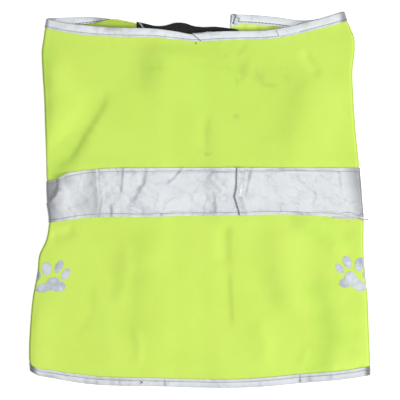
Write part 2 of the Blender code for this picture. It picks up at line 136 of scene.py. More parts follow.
# Hem and neck edges of each wing, from its inner end or from the fold
LEFT_WING = table(
    "x hem neck", (-177, -178, 188.6), (-142, -177, 189.3), (-114, -176, 190.1), (-91, -175.5, 187.8),
    (-76, -175, 185.4), (-53, -174.5, 182.4),
)
RIGHT_WING = table(
    "x hem neck", (31.5, -177, 193), (58, -177.5, 192), (79, -178, 190.1), (109, -179, 186.6),
    (130, -180, 189.6), (150, -181, 196), (177, -182.5, 196),
)
WING_BINDING = 9.6
# Top edge of the black panel, slack between the wings
PANEL_TOP = table(
    "x y", (-66, 185.2), (-56, 183.1), (-46, 180.8), (-36, 181.3), (-26, 184), (-15, 183.5), (-7, 180.8),
    (1, 179.7), (16, 179.9), (30, 178.4), (40, 176.8),
)

# Soft folds of the back. Each follows its points, mostly from hem to neck. Its profile falls off
# within the first width on the left of its run and within the second on the right.
# A height below 0 is a trough.
CREASE = "points left right height"
CREASES = table(
    CREASE,
    # Upper cloth
    (((-146, 34), (-137, 50), (-127, 66), (-116, 83), (-105, 101), (-97, 121)), 16, 6.4, -2.2),
    (((-178, -8), (-162, 24), (-148, 45), (-136, 63), (-124, 82)), 20, 13, -2.6),
    (((-157, 46), (-150, 92), (-151, 122), (-156, 162)), 9, 18, 2.3),
    (((-44, 98), (-38, 122), (-34, 166)), 20, 38, 2.7), (((-72, 60), (-70, 90), (-78, 122)), 14, 12, 0.3),
    (((84, 20), (96, 48), (106, 72), (118, 102), (136, 140)), 26, 32, 3.3),
    (((122, 106), (94, 121), (64, 137)), 14, 9, 0.5), (((126, 127), (115, 142), (106, 157)), 6, 3.6, -1),
    (((6, 46), (4, 70), (8, 92)), 6, 4, -0.6), (((66, 122), (24, 133), (-18, 141)), 4, 3, 0.45),
    (((57, 34), (66, 60), (50, 104)), 18, 14, 0.5),
    # Lower cloth
    (((31, -140), (28.5, -100), (27, -64)), 12, 2.8, -0.95), (((27, -74), (25, -44), (27, -20)), 9, 6, -1.3),
    (((104, -146), (90, -128), (76, -110), (66, -94), (60, -62)), 14, 12, -0.55),
    (((100, -130), (88, -72), (80, -14)), 17, 22, 1.9),
    (((140, -240), (145, -175), (151, -141), (147, -112), (134, -80), (124, -46)), 17, 36, 2.7),
    (((92, -18), (124, -32), (156, -58)), 8, 10, 2),
    (((-138, -150), (-123, -131), (-115, -118), (-114.4, -98), (-116, -78)), 9, 5.4, -0.4),
    (((-97, -106), (-94, -74), (-96, -42)), 16, 12, -0.8),
    (((-56, -178), (-53, -100), (-52, -60), (-53, -16)), 16, 26, 1.5),
    (((-128, -28), (-142, -36), (-160, -40)), 7, 5, -1.2),
    (((-86, -120), (-76, -70), (-78, -32)), 8, 6, 0.5),
    (((-98, -178), (-92, -150), (-108, -120)), 14, 10, 0.35),
    (((-34, -172), (-28, -120), (-34, -66)), 18, 24, 0.8),
    (((64, -176), (68, -150), (58, -122)), 10, 8, 0.7),
    (((-172, -230), (-170, -140), (-162, -92)), 5, 15, 1.5),
    (((-66, -176), (-62, -150), (-70, -128)), 5, 4, 0.5),
    (((104, -178), (108, -164), (112, -150)), 5, 4, 0.4),
)
# The reflective band's own creases, which stand off the cloth
BAND_CREASES = table(
    CREASE,
    (((-170, -18), (-163, -11.5), (-155.8, -4.5), (-152, 0.3), (-148.3, 4.2), (-146.4, 10), (-146, 18),
      (-146, 60)), 1, 8, 1.15), (((-158, -8), (-151.4, 1.6), (-147.6, 7), (-146, 14)), 3, 8, 0.8),
    (((-112, -40), (-109, -14), (-106.6, 3), (-110, 14), (-110, 44)), 14, 2, -0.9),
    (((-126, -14), (-122, 6), (-125, 24)), 5, 4, -0.5), (((-81, 2), (-79.4, 16), (-78, 40)), 1.5, 5, 0.42),
    (((-71, -10), (-62, 4), (-55, 16), (-51, 40)), 3.2, 8, 0.55),
    (((-40, 8), (-26, 20), (-12, 36)), 2.4, 7, 0.5), (((-92, -34), (-90, -12), (-92, -2)), 1.5, 5, 0.4),
    (((-40, -26), (-34, -4), (-29, 9)), 2.4, 7, 0.42),
    (((42.6, -60), (42, -14), (36.8, 3), (38.8, 12), (40.4, 76)), 1.15, 4.2, 1.5),
    (((44.6, -60), (44.4, -14), (40.4, 3), (42.4, 12), (43.4, 76)), 1.2, 3.2, 0.5),
    (((48, -2), (52.4, 14), (58, 40)), 3.4, 7, 0.8), (((84, -14), (87, -9), (84, -4)), 2.2, 4, 0.4),
    (((118, -10), (124, 2), (120, 16)), 3, 8, 0.4), (((15, -24), (19, -6), (16, 10)), 2.4, 6, 0.4),
    (((166, -40), (160, -12), (152, 8), (148, 40)), 3.2, 14, -0.9),
)
# Creases of the two wings, which lie on the surface: they rise on the inside only
WING_CREASES = table(
    CREASE, (((-160, 120), (-120, 96), (-90, 88)), 7, 9, 0.9),
    (((-64, 150), (-84, 110), (-80, 60)), 6, 8, 0.7), (((-160, -60), (-120, -82), (-70, -90)), 8, 7, 0.9),
    (((-150, -150), (-110, -130), (-64, -140)), 7, 9, 0.8),
    (((-120, -40), (-96, -90), (-92, -160)), 5, 8, 0.6), (((150, 150), (110, 120), (60, 116)), 8, 6, 0.8),
    (((60, 160), (84, 110), (76, 50)), 7, 9, 0.8), (((160, 60), (120, 70), (80, 54)), 6, 7, 0.6),
    (((165, -50), (120, -70), (50, -60)), 8, 7, 0.9), (((150, -110), (104, -120), (60, -160)), 7, 9, 0.9),
    (((80, -40), (92, -100), (84, -170)), 6, 6, 0.6),
)
CREASE_FADE = 0.28

# Settling rounds for a point of the sheet, and the nudge that finds its slopes
SETTLING_ROUNDS = 6
NUDGE = 1e-4

# Marks along the columns and along the rows
LEFT_ROLL, BACK_START, BACK_END, RIGHT_ROLL, LAST = 1.0, 2.0, 3.0, 4.0, 5.0
LOWER_START, BAND_START, UPPER_START, NECK_START, NECK_END = 1.0, 2.0, 3.0, 4.0, 5.0


def on_curve(values, slopes, i, t, span):
    """A smooth curve's value at a share t of the span from its point i to the next."""
    start = (1 + 2 * t) * (1 - t) ** 2 * values[i] + t * (1 - t) ** 2 * span * slopes[i]
    end = t * t * (3 - 2 * t) * values[i + 1] + t * t * (t - 1) * span * slopes[i + 1]
    return start + end


def curve(xs, ys):
    """A smooth curve through places and their values."""
    slopes = np.gradient(ys, xs)

    def at(x):
        x = np.clip(x, xs[0], xs[-1])
        i = np.clip(np.searchsorted(xs, x, side="right") - 1, 0, len(xs) - 2)
        span = xs[i + 1] - xs[i]
        return on_curve(ys, slopes, i, (x - xs[i]) / span, span)

    return at


def curves(rows):
    """A smooth curve for each later column of a table, against its first."""
    first, *others = np.array(rows, float).T
    return [curve(first, other) for other in others]


def step(t):
    """0 below 0, 1 above 1, and smooth between."""
    t = np.clip(t, 0, 1)
    return t * t * (3 - 2 * t)


def mix(a, b, t):
    return a + (b - a) * t


def bell(away):
    """1 at 0, falling off within about 1 on both sides."""
    return np.exp(-(away ** 2))


def unit(vectors):
    return vectors / np.linalg.norm(vectors, axis=-1, keepdims=True)


def gone_along(line):
    """The length gone along a line at each of its points."""
    return np.concatenate(([0], np.cumsum(np.linalg.norm(np.diff(line, axis=0), axis=1))))


def lattice_corners(i, j, seed, size=64):
    """Random heights from -1 to 1 at the near, right, above and far corners of a cell."""
    lattice = np.random.default_rng(seed).uniform(-1, 1, (size, size))
    return [lattice[(i + right) % size, (j + up) % size] for up in (0, 1) for right in (0, 1)]


def noise(x, y, cell, seed):
    """Smooth noise from -1 to 1 whose lumps are about one cell across."""
    x, y = np.broadcast_arrays(np.asarray(x, float) / cell, np.asarray(y, float) / cell)
    i, j = np.floor(x).astype(int), np.floor(y).astype(int)
    near, right, above, far = lattice_corners(i, j, seed)
    s, t = step(x - i), step(y - j)
    return mix(mix(near, right, s), mix(above, far, s), t)


def facets(x, y, cell, seed):
    """Heights from -1 to 1 over flat facets about one cell across, like crumpled foil."""
    x, y = x / cell, y / cell
    skewed = x + 0.5 * y
    i, j = np.floor(skewed).astype(int), np.floor(y).astype(int)
    near, right, above, far = lattice_corners(i, j, seed)
    s, t = skewed - i, y - j
    low = near + s * (right - near) + t * (above - near)
    high = far + (1 - s) * (above - far) + (1 - t) * (right - far)
    return np.where(s + t < 1, low, high)


left_fold, right_fold = curves(OUTLINE)
hem_low, hem_high = curves(HEM)
neck_low, neck_high = curves(NECK)
band_low, band_high = curves(BAND)
left_wing_hem, left_wing_neck = curves(LEFT_WING)
right_wing_hem, right_wing_neck = curves(RIGHT_WING)
panel_top, = curves(PANEL_TOP)

LOWER_LENGTH = float(band_low(0) - hem_high(0))
UPPER_LENGTH = float(neck_low(0) - band_high(0))


def back_marks(x):
    """The y of each mark of the rows, on the back panel."""
    hem = hem_low(x) + LAYER
    neck = neck_high(x) - LAYER
    return hem, hem_high(x), band_low(x), band_high(x), neck_low(x), neck


def wing_marks(x):
    """The y of each mark of the rows, on a wing: the band goes straight on from its fold."""
    left = x < 0
    hem = np.where(left, left_wing_hem(x), right_wing_hem(x)) + LAYER
    neck = np.where(left, left_wing_neck(x), right_wing_neck(x)) - LAYER
    fold = np.where(left, BAND[0].x, BAND[-1].x)
    depth = WING_BINDING - LAYER
    return hem, hem + depth, band_low(fold), band_high(fold), neck - depth, neck


def along_rows(marks, row):
    """The y at a row, between the marks on both sides of it."""
    y = marks[0] + 0 * row
    for i in range(len(marks) - 1):
        y = y + (marks[i + 1] - marks[i]) * np.clip(row - i, 0, 1)
    return y


def past_trim(row):
    """How far a row lies from the nearest trim's edge; 0 under a trim."""
    lower = np.minimum(row - LOWER_START, BAND_START - row) * LOWER_LENGTH
    upper = np.minimum(row - UPPER_START, NECK_START - row) * UPPER_LENGTH
    return np.maximum(np.maximum(lower, upper), 0)


def past_binding(row):
    """How far a row lies from the nearest binding."""
    from_hem = (row - LOWER_START) * LOWER_LENGTH
    from_neck = (NECK_START - row) * UPPER_LENGTH
    return np.maximum(np.minimum(from_hem, from_neck), 0)


def crease_height(creases, x, y):
    """The soft ridges and troughs of a table, each fading out towards its ends."""
    total = 0 * x
    for crease in creases:
        points = np.array(crease.points, float)
        runs = np.diff(points, axis=0)
        lengths = np.hypot(runs[:, 0], runs[:, 1])
        whole = lengths.sum()
        nearest = np.full(x.shape, np.inf)
        side = np.zeros(x.shape)
        share = np.zeros(x.shape)
        done = 0.0
        for start, run, length in zip(points, runs, lengths):
            dx = x - start[0]
            dy = y - start[1]
            along = np.clip((dx * run[0] + dy * run[1]) / length ** 2, 0, 1)
            away = np.hypot(dx - along * run[0], dy - along * run[1])
            across = (dx * run[1] - dy * run[0]) / length
            closer = away < nearest
            nearest = np.where(closer, away, nearest)
            side = np.where(closer, across, side)
            share = np.where(closer, (done + along * length) / whole, share)
            done += length
        width = mix(crease.left, crease.right, step(side / (crease.left + crease.right) + 0.5))
        fade = step(share / CREASE_FADE) * step((1 - share) / CREASE_FADE)
        total = total + crease.height * bell(nearest / width) * fade
    return total


def outer_layers(row):
    """From the middle of the cloth's wall to the coat's outer face, over a trim where there is one."""
    return CLOTH_WALL / 2 + LAYER * (1 - step(past_trim(row) / RAMP))


def between_wings(x):
    """1 where only the black panel lies below the back, 0 over the wings."""
    start = LEFT_WING_END + PANEL_DIP
    end = RIGHT_WING_END - PANEL_DIP
    return step((x - start) / SAG_REACH) * step((end - x) / SAG_REACH)


# Uneven places in the cloth: a height, the size of a lump and a seed of its own
SEAM_PUCKERS = ((0.16, 5.5, 21), (0.08, 3.2, 22))
SLOW_WAVES = ((0.09, 17, 23), (0.36, 44, 24))
PUCKER_REACH = 7
SLANT_COS, SLANT_SIN = 0.82, 0.57


def waves(x, y, rows):
    """The sum of several noises, each with a height, a size and a seed."""
    return sum(height * noise(x, y, cell, seed) for height, cell, seed in rows)


def puckers(x, y, row):
    """Small puckers that the seams draw up along their length, and slow slanting waves."""
    slanting = SLANT_COS * x + SLANT_SIN * y, SLANT_COS * y - SLANT_SIN * x
    return waves(x, y, SEAM_PUCKERS) * bell(past_trim(row) / PUCKER_REACH) + waves(*slanting, SLOW_WAVES)


# How far the wings' creases stay clear of a trim, the side fold and the wing's end
TRIM_MARGIN = 14
SIDE_MARGIN = 24
END_MARGIN = 18


def wing_rise(x, y, row):
    """How far a wing's creases rise off the surface, never under a trim or at the fold."""
    free = step((x - left_fold(y)) / SIDE_MARGIN) * step((right_fold(y) - x) / SIDE_MARGIN)
    inner = np.where(x < 0, LEFT_WING_END - x, x - RIGHT_WING_END)
    free = step(past_trim(row) / TRIM_MARGIN) * free * step(inner / END_MARGIN)
    return crease_height(WING_CREASES, x, y) * free


def back_height(x, y, row):
    """Middle of the back panel's wall, resting on the layers below it."""
    near_trim = 1 - step((past_trim(row) - BACK_RAMP_START) / BACK_RAMP)
    near_binding = 1 - step((past_binding(row) - BACK_RAMP_START) / BACK_RAMP)
    over_wings = CLOTH_WALL + LAYER * (1 + near_trim)
    over_panel = CLOTH_WALL + LAYER * near_binding * (row > BAND_START)
    below = mix(over_wings, over_panel, between_wings(x)) + LOOSE
    lifted = wing_rise(x, y, row) * (1 - between_wings(x))
    own = CLOTH_WALL / 2 + LAYER * near_binding
    inward = np.minimum(x - left_fold(y), right_fold(y) - x)
    at_fold = bell(inward / EDGE_REACH)
    edge = mix(EDGE_RISE_LEFT, EDGE_RISE_RIGHT, x > 0) * mix(1, EDGE_SHARE, near_binding) * at_fold
    belly = BELLY * mix(1, BELLY_SHARE, near_binding) * (1 - at_fold)
    folds = crease_height(CREASES, x, y) * mix(FOLD_SHARE, 1, step(past_binding(row) / FOLD_RAMP))
    rise = belly + edge + folds + puckers(x, y, row)
    never_below = lifted + np.logaddexp(0, CONTACT_SHARPNESS * (rise - lifted)) / CONTACT_SHARPNESS
    return below + GAP + own + never_below


def sheet_point(column, row):
    """The middle of the cloth's wall at a column and a row.

    A place's x depends on its y through the sides, and its y on its x through the hem and the
    neck, so the two are found in turn until they settle.
    """
    column, row = np.broadcast_arrays(np.asarray(column, float), np.asarray(row, float))
    on_left = column < (BACK_START + BACK_END) / 2
    turn = np.clip(np.where(on_left, column - LEFT_ROLL, RIGHT_ROLL - column), 0, 1)
    angle = (turn - 0.5) * np.pi
    upper = step(turn)
    across = np.clip(column - BACK_START, 0, 1)
    wing = np.clip(np.where(on_left, column, LAST - column), 0, 1)
    roll = ROLL_RADIUS * (1 - np.cos(angle))
    y = along_rows(back_marks(0.0), row)
    for _ in range(SETTLING_ROUNDS):
        left = left_fold(y) + outer_layers(row)
        right = right_fold(y) - outer_layers(row)
        back_x = mix(left + ROLL_RADIUS, right - ROLL_RADIUS, across)
        left_x = mix(LEFT_WING_END, left + ROLL_RADIUS, wing)
        right_x = mix(RIGHT_WING_END, right - ROLL_RADIUS, wing)
        side_x = np.where(on_left, left_x, right_x)
        roll_x = np.where(on_left, left + roll, right - roll)
        x = np.where(wing < 1, side_x, np.where(turn < 1, roll_x, back_x))
        y = mix(along_rows(wing_marks(x), row), along_rows(back_marks(x), row), upper)
    fold_x = np.where(on_left, left + ROLL_RADIUS, right - ROLL_RADIUS)
    top = back_height(np.where(turn < 1, fold_x, x), y, row)
    bottom = outer_layers(row) + wing_rise(x, y, row) * (wing < 1)
    rolled = mix(bottom, top, (1 + np.sin(angle)) / 2)
    z = np.where(turn <= 0, bottom, np.where(turn < 1, rolled, top))
    return np.stack((x, y, z), axis=-1)


def sheet_frame(column, row):
    """Points of the sheet, its outward normals and its directions towards the neck."""
    column, row = np.broadcast_arrays(np.asarray(column, float), np.asarray(row, float))
    columns = np.maximum(column - NUDGE, 0), np.minimum(column + NUDGE, LAST)
    rows = np.maximum(row - NUDGE, 0), np.minimum(row + NUDGE, NECK_END)
    round_coat = sheet_point(columns[1], row) - sheet_point(columns[0], row)
    to_neck = sheet_point(column, rows[1]) - sheet_point(column, rows[0])
    normal = unit(np.cross(round_coat, to_neck))
    return sheet_point(column, row), normal, unit(np.cross(normal, round_coat))


def back_column(x, y):
    """The column of the back panel that passes a place."""
    start = float(left_fold(y)) + ROLL_RADIUS
    end = float(right_fold(y)) - ROLL_RADIUS
    return BACK_START + (x - start) / (end - start)


def left_wing_column(x):
    """The column of the left wing that passes a place near its neck."""
    fold = float(left_fold(NECK[0].high)) + ROLL_RADIUS
    return (LEFT_WING_END - x) / (LEFT_WING_END - fold)


def stretches(*counts):
    """Marks of stretches that are each 1 long, with a count of steps in each."""
    parts = [np.linspace(i, i + 1, count, endpoint=False) for i, count in enumerate(counts)]
    return np.concatenate(parts + [[len(counts)]])


def spread(wing, roll, back):
    """Columns round the coat with a count of steps for each stretch."""
    return stretches(wing, roll, back, roll, wing)


def add_mesh(name, points, faces, look, places=None, sharp=50):
    """An object of one mesh. places are the points' own places on the flat cloth, in mm."""
    mesh = bpy.data.meshes.new(name)
    moved = np.array(points, float)
    moved[:, 2] = np.maximum(moved[:, 2], PRESSED)
    moved = (moved - CENTRE) * MM
    mesh.from_pydata(moved.tolist(), [], faces)
    if places is not None:
        layer = mesh.uv_layers.new(name="flat")
        corners = np.zeros(len(mesh.loops), dtype=np.int32)
        mesh.loops.foreach_get("vertex_index", corners)
        flat = (np.asarray(places, float) * MM)[corners]
        layer.data.foreach_set("uv", flat.astype(np.float32).ravel())
    mesh.materials.append(look)
    mesh.shade_smooth()
    mesh.set_sharp_from_angle(angle=np.radians(sharp))
    made = bpy.data.objects.new(name, mesh)
    bpy.context.scene.collection.objects.link(made)
    return made


def wall(name, outer, inner, look, inner_look=None):
    """A closed solid between two grids of points, with strips round its four sides."""
    columns, rows = outer.shape[:2]
    points = np.concatenate((outer.reshape(-1, 3), inner.reshape(-1, 3)))
    far = columns * rows
    grid = np.arange(far).reshape(columns, rows)
    top = np.stack((grid[:-1, :-1], grid[1:, :-1], grid[1:, 1:], grid[:-1, 1:]), -1).reshape(-1, 4)
    faces = np.concatenate((top, far + top[:, ::-1])).tolist()
    rim = np.concatenate((grid[:, 0], grid[-1, 1:], grid[-2::-1, -1], grid[0, -2:0:-1]))
    for p, q in zip(rim, np.roll(rim, -1)):
        faces.append((int(q), int(p), int(far + p), int(far + q)))
    middle = columns // 2
    round_coat = np.linalg.norm(np.diff(outer, axis=0), axis=-1)
    u = np.concatenate((np.zeros((1, rows)), np.cumsum(round_coat, axis=0)))
    u = u - u[middle] + outer[middle, :, 0]
    up = np.linalg.norm(np.diff(outer, axis=1), axis=-1)
    v = np.concatenate((np.zeros((columns, 1)), np.cumsum(up, axis=1)), axis=1)
    v = v + outer[middle, 0, 1]
    places = np.stack((u, v), -1).reshape(-1, 2)
    made = add_mesh(name, points, faces, look, np.concatenate((places, places)))
    if inner_look is not None:
        made.data.materials.append(inner_look)
        for polygon in made.data.polygons[len(top):2 * len(top)]:
            polygon.material_index = 1
    return made


# Materials

class Look:
    """A material and its nodes. Each method adds nodes and gives what comes out of them."""

    def __init__(self, name, roughness, metallic=0.0, sheen=0.0, specular=0.5):
        self.material = bpy.data.materials.new(name)
        self.material.use_nodes = True
        self.tree = self.material.node_tree
        self.shader = self.tree.nodes["Principled BSDF"].inputs
        self.shader["Roughness"].default_value = roughness
        self.shader["Metallic"].default_value = metallic
        self.shader["Sheen Weight"].default_value = sheen
        self.shader["Specular IOR Level"].default_value = specular
        places = self.add("TexCoord").outputs
        self.place, self.flat = places["Object"], places["UV"]

    def add(self, kind, inputs=None, **settings):
        """A node of a kind, with its settings, and values or links for its inputs."""
        node = self.tree.nodes.new("ShaderNode" + kind)
        for key, value in settings.items():
            setattr(node, key, value)
        for key, value in (inputs or {}).items():
            if isinstance(value, bpy.types.NodeSocket):
                self.tree.links.new(value, node.inputs[key])
            else:
                node.inputs[key].default_value = value
        return node

    def finish(self, **sources):
        """The material, once each source is linked to the shader's input of that name."""
        for name, source in sources.items():
            self.tree.links.new(source, self.shader[name.replace("_", " ").title()])
        return self.material

    def lumps(self, place, size, detail=2.0, roughness=0.5, output="Fac"):
        """Noise from about 0.3 to 0.7, in lumps of a size in millimetres."""
        inputs = {"Vector": place, "Scale": 1 / (size * MM), "Detail": detail, "Roughness": roughness}
        return self.add("TexNoise", inputs).outputs[output]

    def ribs(self, place, pitch, direction, distortion=0.0):
        """Parallel ribs of a pitch in millimetres, where a wave of scale 1 has a pitch of 2 pi / 20."""
        inputs = {"Vector": place, "Scale": 2 * np.pi / 20 / (pitch * MM), "Distortion": distortion}
        return self.add("TexWave", inputs, bands_direction=direction).outputs["Fac"]

    def cracks(self, place, size, width):
        """1 along the edges of cells of a size in millimetres, falling to 0 within a width."""
        inputs = {"Vector": place, "Scale": 1 / (size * MM), "Randomness": 1.0}
        away = self.add("TexVoronoi", inputs, feature="DISTANCE_TO_EDGE").outputs["Distance"]
        return self.ranged(away, 0.0, width, 1.0, 0.0)

    def ranged(self, value, low, high, to_low=0.0, to_high=1.0):
        inputs = {"Value": value, "From Min": low, "From Max": high, "To Min": to_low, "To Max": to_high}
        return self.add("MapRange", inputs, interpolation_type="SMOOTHSTEP").outputs["Result"]

    def sums(self, operation, first, second):
        return self.add("Math", {0: first, 1: second}, operation=operation).outputs[0]

    def times(self, first, second):
        return self.sums("MULTIPLY", first, second)

    def strongest(self, *values):
        return reduce(lambda first, second: self.sums("MAXIMUM", first, second), values)

    def vectors(self, operation, first, second, output="Vector"):
        return self.add("VectorMath", {0: first, 1: second}, operation=operation).outputs[output]

    def parts(self, vector):
        return self.add("SeparateXYZ", {"Vector": vector}).outputs

    def tinted(self, factor, first, second):
        """One colour over another by a factor."""
        first, second = (value if isinstance(value, bpy.types.NodeSocket) else (*value, 1)
                         for value in (first, second))
        return self.add("Mix", {0: factor, 6: first, 7: second}, data_type="RGBA").outputs[2]

    def bumped(self, height, depth, strength=1.0, under=None):
        """A normal bumped by a height of a depth in millimetres, over another bump or none."""
        inputs = {"Height": height, "Distance": depth * MM, "Strength": strength}
        if under is not None:
            inputs["Normal"] = under
        return self.add("Bump", inputs).outputs["Normal"]

    def spots(self, place, marks):
        """The strongest of several soft spots, each 1 at its place and 0 beyond its reach."""
        shares = []
        for mark in marks:
            centre = ((mark.x - CENTRE[0]) * MM, (mark.y - CENTRE[1]) * MM, SPOT_HEIGHT)
            away = self.vectors("DISTANCE", place, centre, "Value")
            shares.append(self.times(self.ranged(away, 0.0, mark.reach * MM, 1.0, 0.0), mark.strength))
        return self.strongest(*shares)


# Soft marks: a place on the coat, a reach and a strength, and their height over the floor in metres
SPOT = "x y reach strength"
SPOT_HEIGHT = 0.0055
SMUDGES = table(
    SPOT, (27, 154, 10, 0.22), (43, 158, 9, 0.22), (39, 128, 10, 0.28), (65, 127, 10, 0.28),
    (49, 141, 14, 0.32), (30, 136, 12, 0.24), (42, 87, 9, 0.3), (13, 52, 5, 0.5), (7, 73, 10, 0.14),
    (84, 140, 12, 0.14), (-46, 141, 20, 0.16),
)
# Painted shade: where the cloth is tinted greener, along its creases and over its shaded places
GREEN_PAINTED_SHADES = table(
    SPOT, (20, 130, 150, 0.5), (-158, 152, 22, 0.8), (-160, 130, 24, 0.9), (-160, 100, 22, 0.9),
    (-160, 70, 20, 0.7), (-50, 142, 26, 0.8), (-52, 118, 20, 0.5), (24, 134, 34, 0.5), (54, 132, 26, 0.5),
    (92, 112, 34, 0.5), (76, 70, 34, 0.5), (66, 44, 26, 0.4), (-108, 90, 9, 0.7), (-117, 75, 11, 0.9),
    (-125, 61, 13, 1), (-134, 49, 15, 1), (-142, 37, 16, 1), (-150, 26, 17, 1), (-137, 104, 20, 0.4),
    (156, -108, 14, 0.6), (158, -136, 15, 0.7), (158, -164, 15, 0.8), (112, -160, 15, 0.5),
    (158, 90, 12, 0.5), (132, -122, 26, 0.9), (134, -146, 28, 0.8), (124, -172, 26, 0.9),
    (122, -90, 22, 0.8), (112, -24, 15, 0.6), (132, -32, 18, 0.8), (150, -46, 17, 0.8), (-64, -50, 24, 0.5),
    (-64, -90, 22, 0.5), (-66, -130, 20, 0.4), (74, -80, 18, 0.4), (82, -108, 18, 0.4), (-118, -96, 16, 0.2),
    (-100, -130, 20, 0.2), (27, -32, 14, 0.45), (152, 98, 17, 0.25), (150, 70, 20, 0.25),
)
# Painted light: where the wing's reverse is made brighter beside the right strip of the neck, over the shadow
# that the neck's edge casts there
PAINTED_LIGHT_SPOTS = table(
    SPOT, (42, 181, 15, 1), (54, 181, 17, 1), (68, 181, 17, 1), (84, 181, 17, 0.9),
)
SMUDGE_COLOUR = (0.33, 0.45, 0.10)
# The colour of the painted light on the wing's reverse
PAINTED_LIGHT_COLOUR = (0.72, 0.92, 0.19)
# Painted shade for the cloth's steep faces
STEEP_PAINTED_SHADE = (0.30, 0.42, 0.05)


def cloth_look(name, light, dark, lit, painted_shade_green, painted_lights=()):
    """Fluorescent knitted polyester: a fine rib, soft blotches, a few smudges and a slight sheen, with
    painted shade as greener patches and darker steep faces, and painted light where spots are given.
    """
    look = Look(name, 0.78, sheen=0.12, specular=0.3)
    wander = look.vectors("SUBTRACT", look.lumps(look.place, 34, output="Color"), (0.5, 0.5, 0.5))
    moved = look.vectors("ADD", look.place, look.vectors("MULTIPLY", wander, (0.05, 0.05, 0.0)))
    ragged = look.ranged(look.lumps(look.place, 9.0, 4.0, 0.55), 0.36, 0.58)
    colour = look.tinted(look.ranged(look.lumps(look.place, 70), 0.35, 0.65), dark, light)
    colour = look.tinted(look.ranged(look.lumps(look.place, 9, 3.0), 0.3, 0.7, 0.0, 0.25), colour, lit)
    # Painted shade: a greener tint over the shaded places and along the creases
    colour = look.tinted(look.spots(moved, GREEN_PAINTED_SHADES), colour, painted_shade_green)
    colour = look.tinted(look.times(look.spots(moved, SMUDGES), ragged), colour, SMUDGE_COLOUR)
    # Painted light: brighter spots on the reverse, over the neck edge's shadow
    if painted_lights:
        colour = look.tinted(look.spots(look.place, painted_lights), colour, PAINTED_LIGHT_COLOUR)
    # Painted shade: faces that turn steeply, such as the rolls at the sides, are darkened
    upright = look.sums("ABSOLUTE", look.parts(look.add("NewGeometry").outputs["Normal"])["Z"], 0.0)
    colour = look.tinted(look.ranged(upright, 0.78, 0.995, 0.9, 0.0), colour, STEEP_PAINTED_SHADE)
    knit = look.times(look.ribs(look.flat, 0.55, "X", 0.4), look.ribs(look.flat, 0.75, "Y", 0.6))
    crumpled = look.bumped(look.lumps(look.flat, 6.5, 4.0, 0.6), 0.25, 0.5)
    return look.finish(base_color=colour, roughness=look.ranged(knit, 0.0, 1.0, 0.84, 0.70),
                       normal=look.bumped(knit, 0.08, 0.35, crumpled))


# Painted shade where the tapes fold round the sides or bend away: a place, a reach before and after it, a
# strength, and a lean
FOLD_SHADE = "place before after strength lean"
BAND_FOLD_SHADES = table(FOLD_SHADE, (-160, 14, 21, 0.62, 0.05), (-107.5, 15, 2.2, 0.34, 0.06),
                  (172, 20, 14, 0.55, 0.2), (169.6, 3.0, 14, 1.0, 0.087))
HEM_FOLD_SHADES = table(FOLD_SHADE, (-176, 9, 8, 1.0, 0.0), (176, 6, 8, 1.0, 0.0))
NECK_FOLD_SHADES = table(FOLD_SHADE, (-163, 8, 7, 0.6, 0.0), (152, 8, 9, 0.8, 0.0))
# Painted shade: darker patches where the tapes slope, twist or are creased
BAND_PAINTED_SHADES = table(
    SPOT, (-115, -5, 20, 0.30), (-138, 20, 13, 0.40), (-148, 4, 10, 0.26), (-92, -8, 7, 0.12),
    (158, 16, 9, 0.25), (163, -2, 8, 0.25), (169, -16, 7, 0.25),
)
HEM_PAINTED_SHADES = table(
    SPOT, (-155, -184, 8, 0.22), (-108, -192, 4, 0.3), (-56, -193, 6, 0.14), (-36, -192, 5, 0.34),
    (62, -192, 4, 0.12), (104, -188, 3, 0.5), (114, -187, 6, 0.32), (136, -184, 5, 0.2),
)
NECK_PAINTED_SHADES = table(
    SPOT, (-92, 187, 17, 1), (-104, 187, 13, 0.7), (108, 185, 10, 0.35), (38, 186, 8, 0.3),
)
# Painted shade in the tapes' creases
CREASE_PAINTED_SHADE = (0.30, 0.31, 0.33)
# The grey of the painted shade at the tapes' folds and patches
PAINTED_SHADE_GREY = (0.17, 0.17, 0.18)


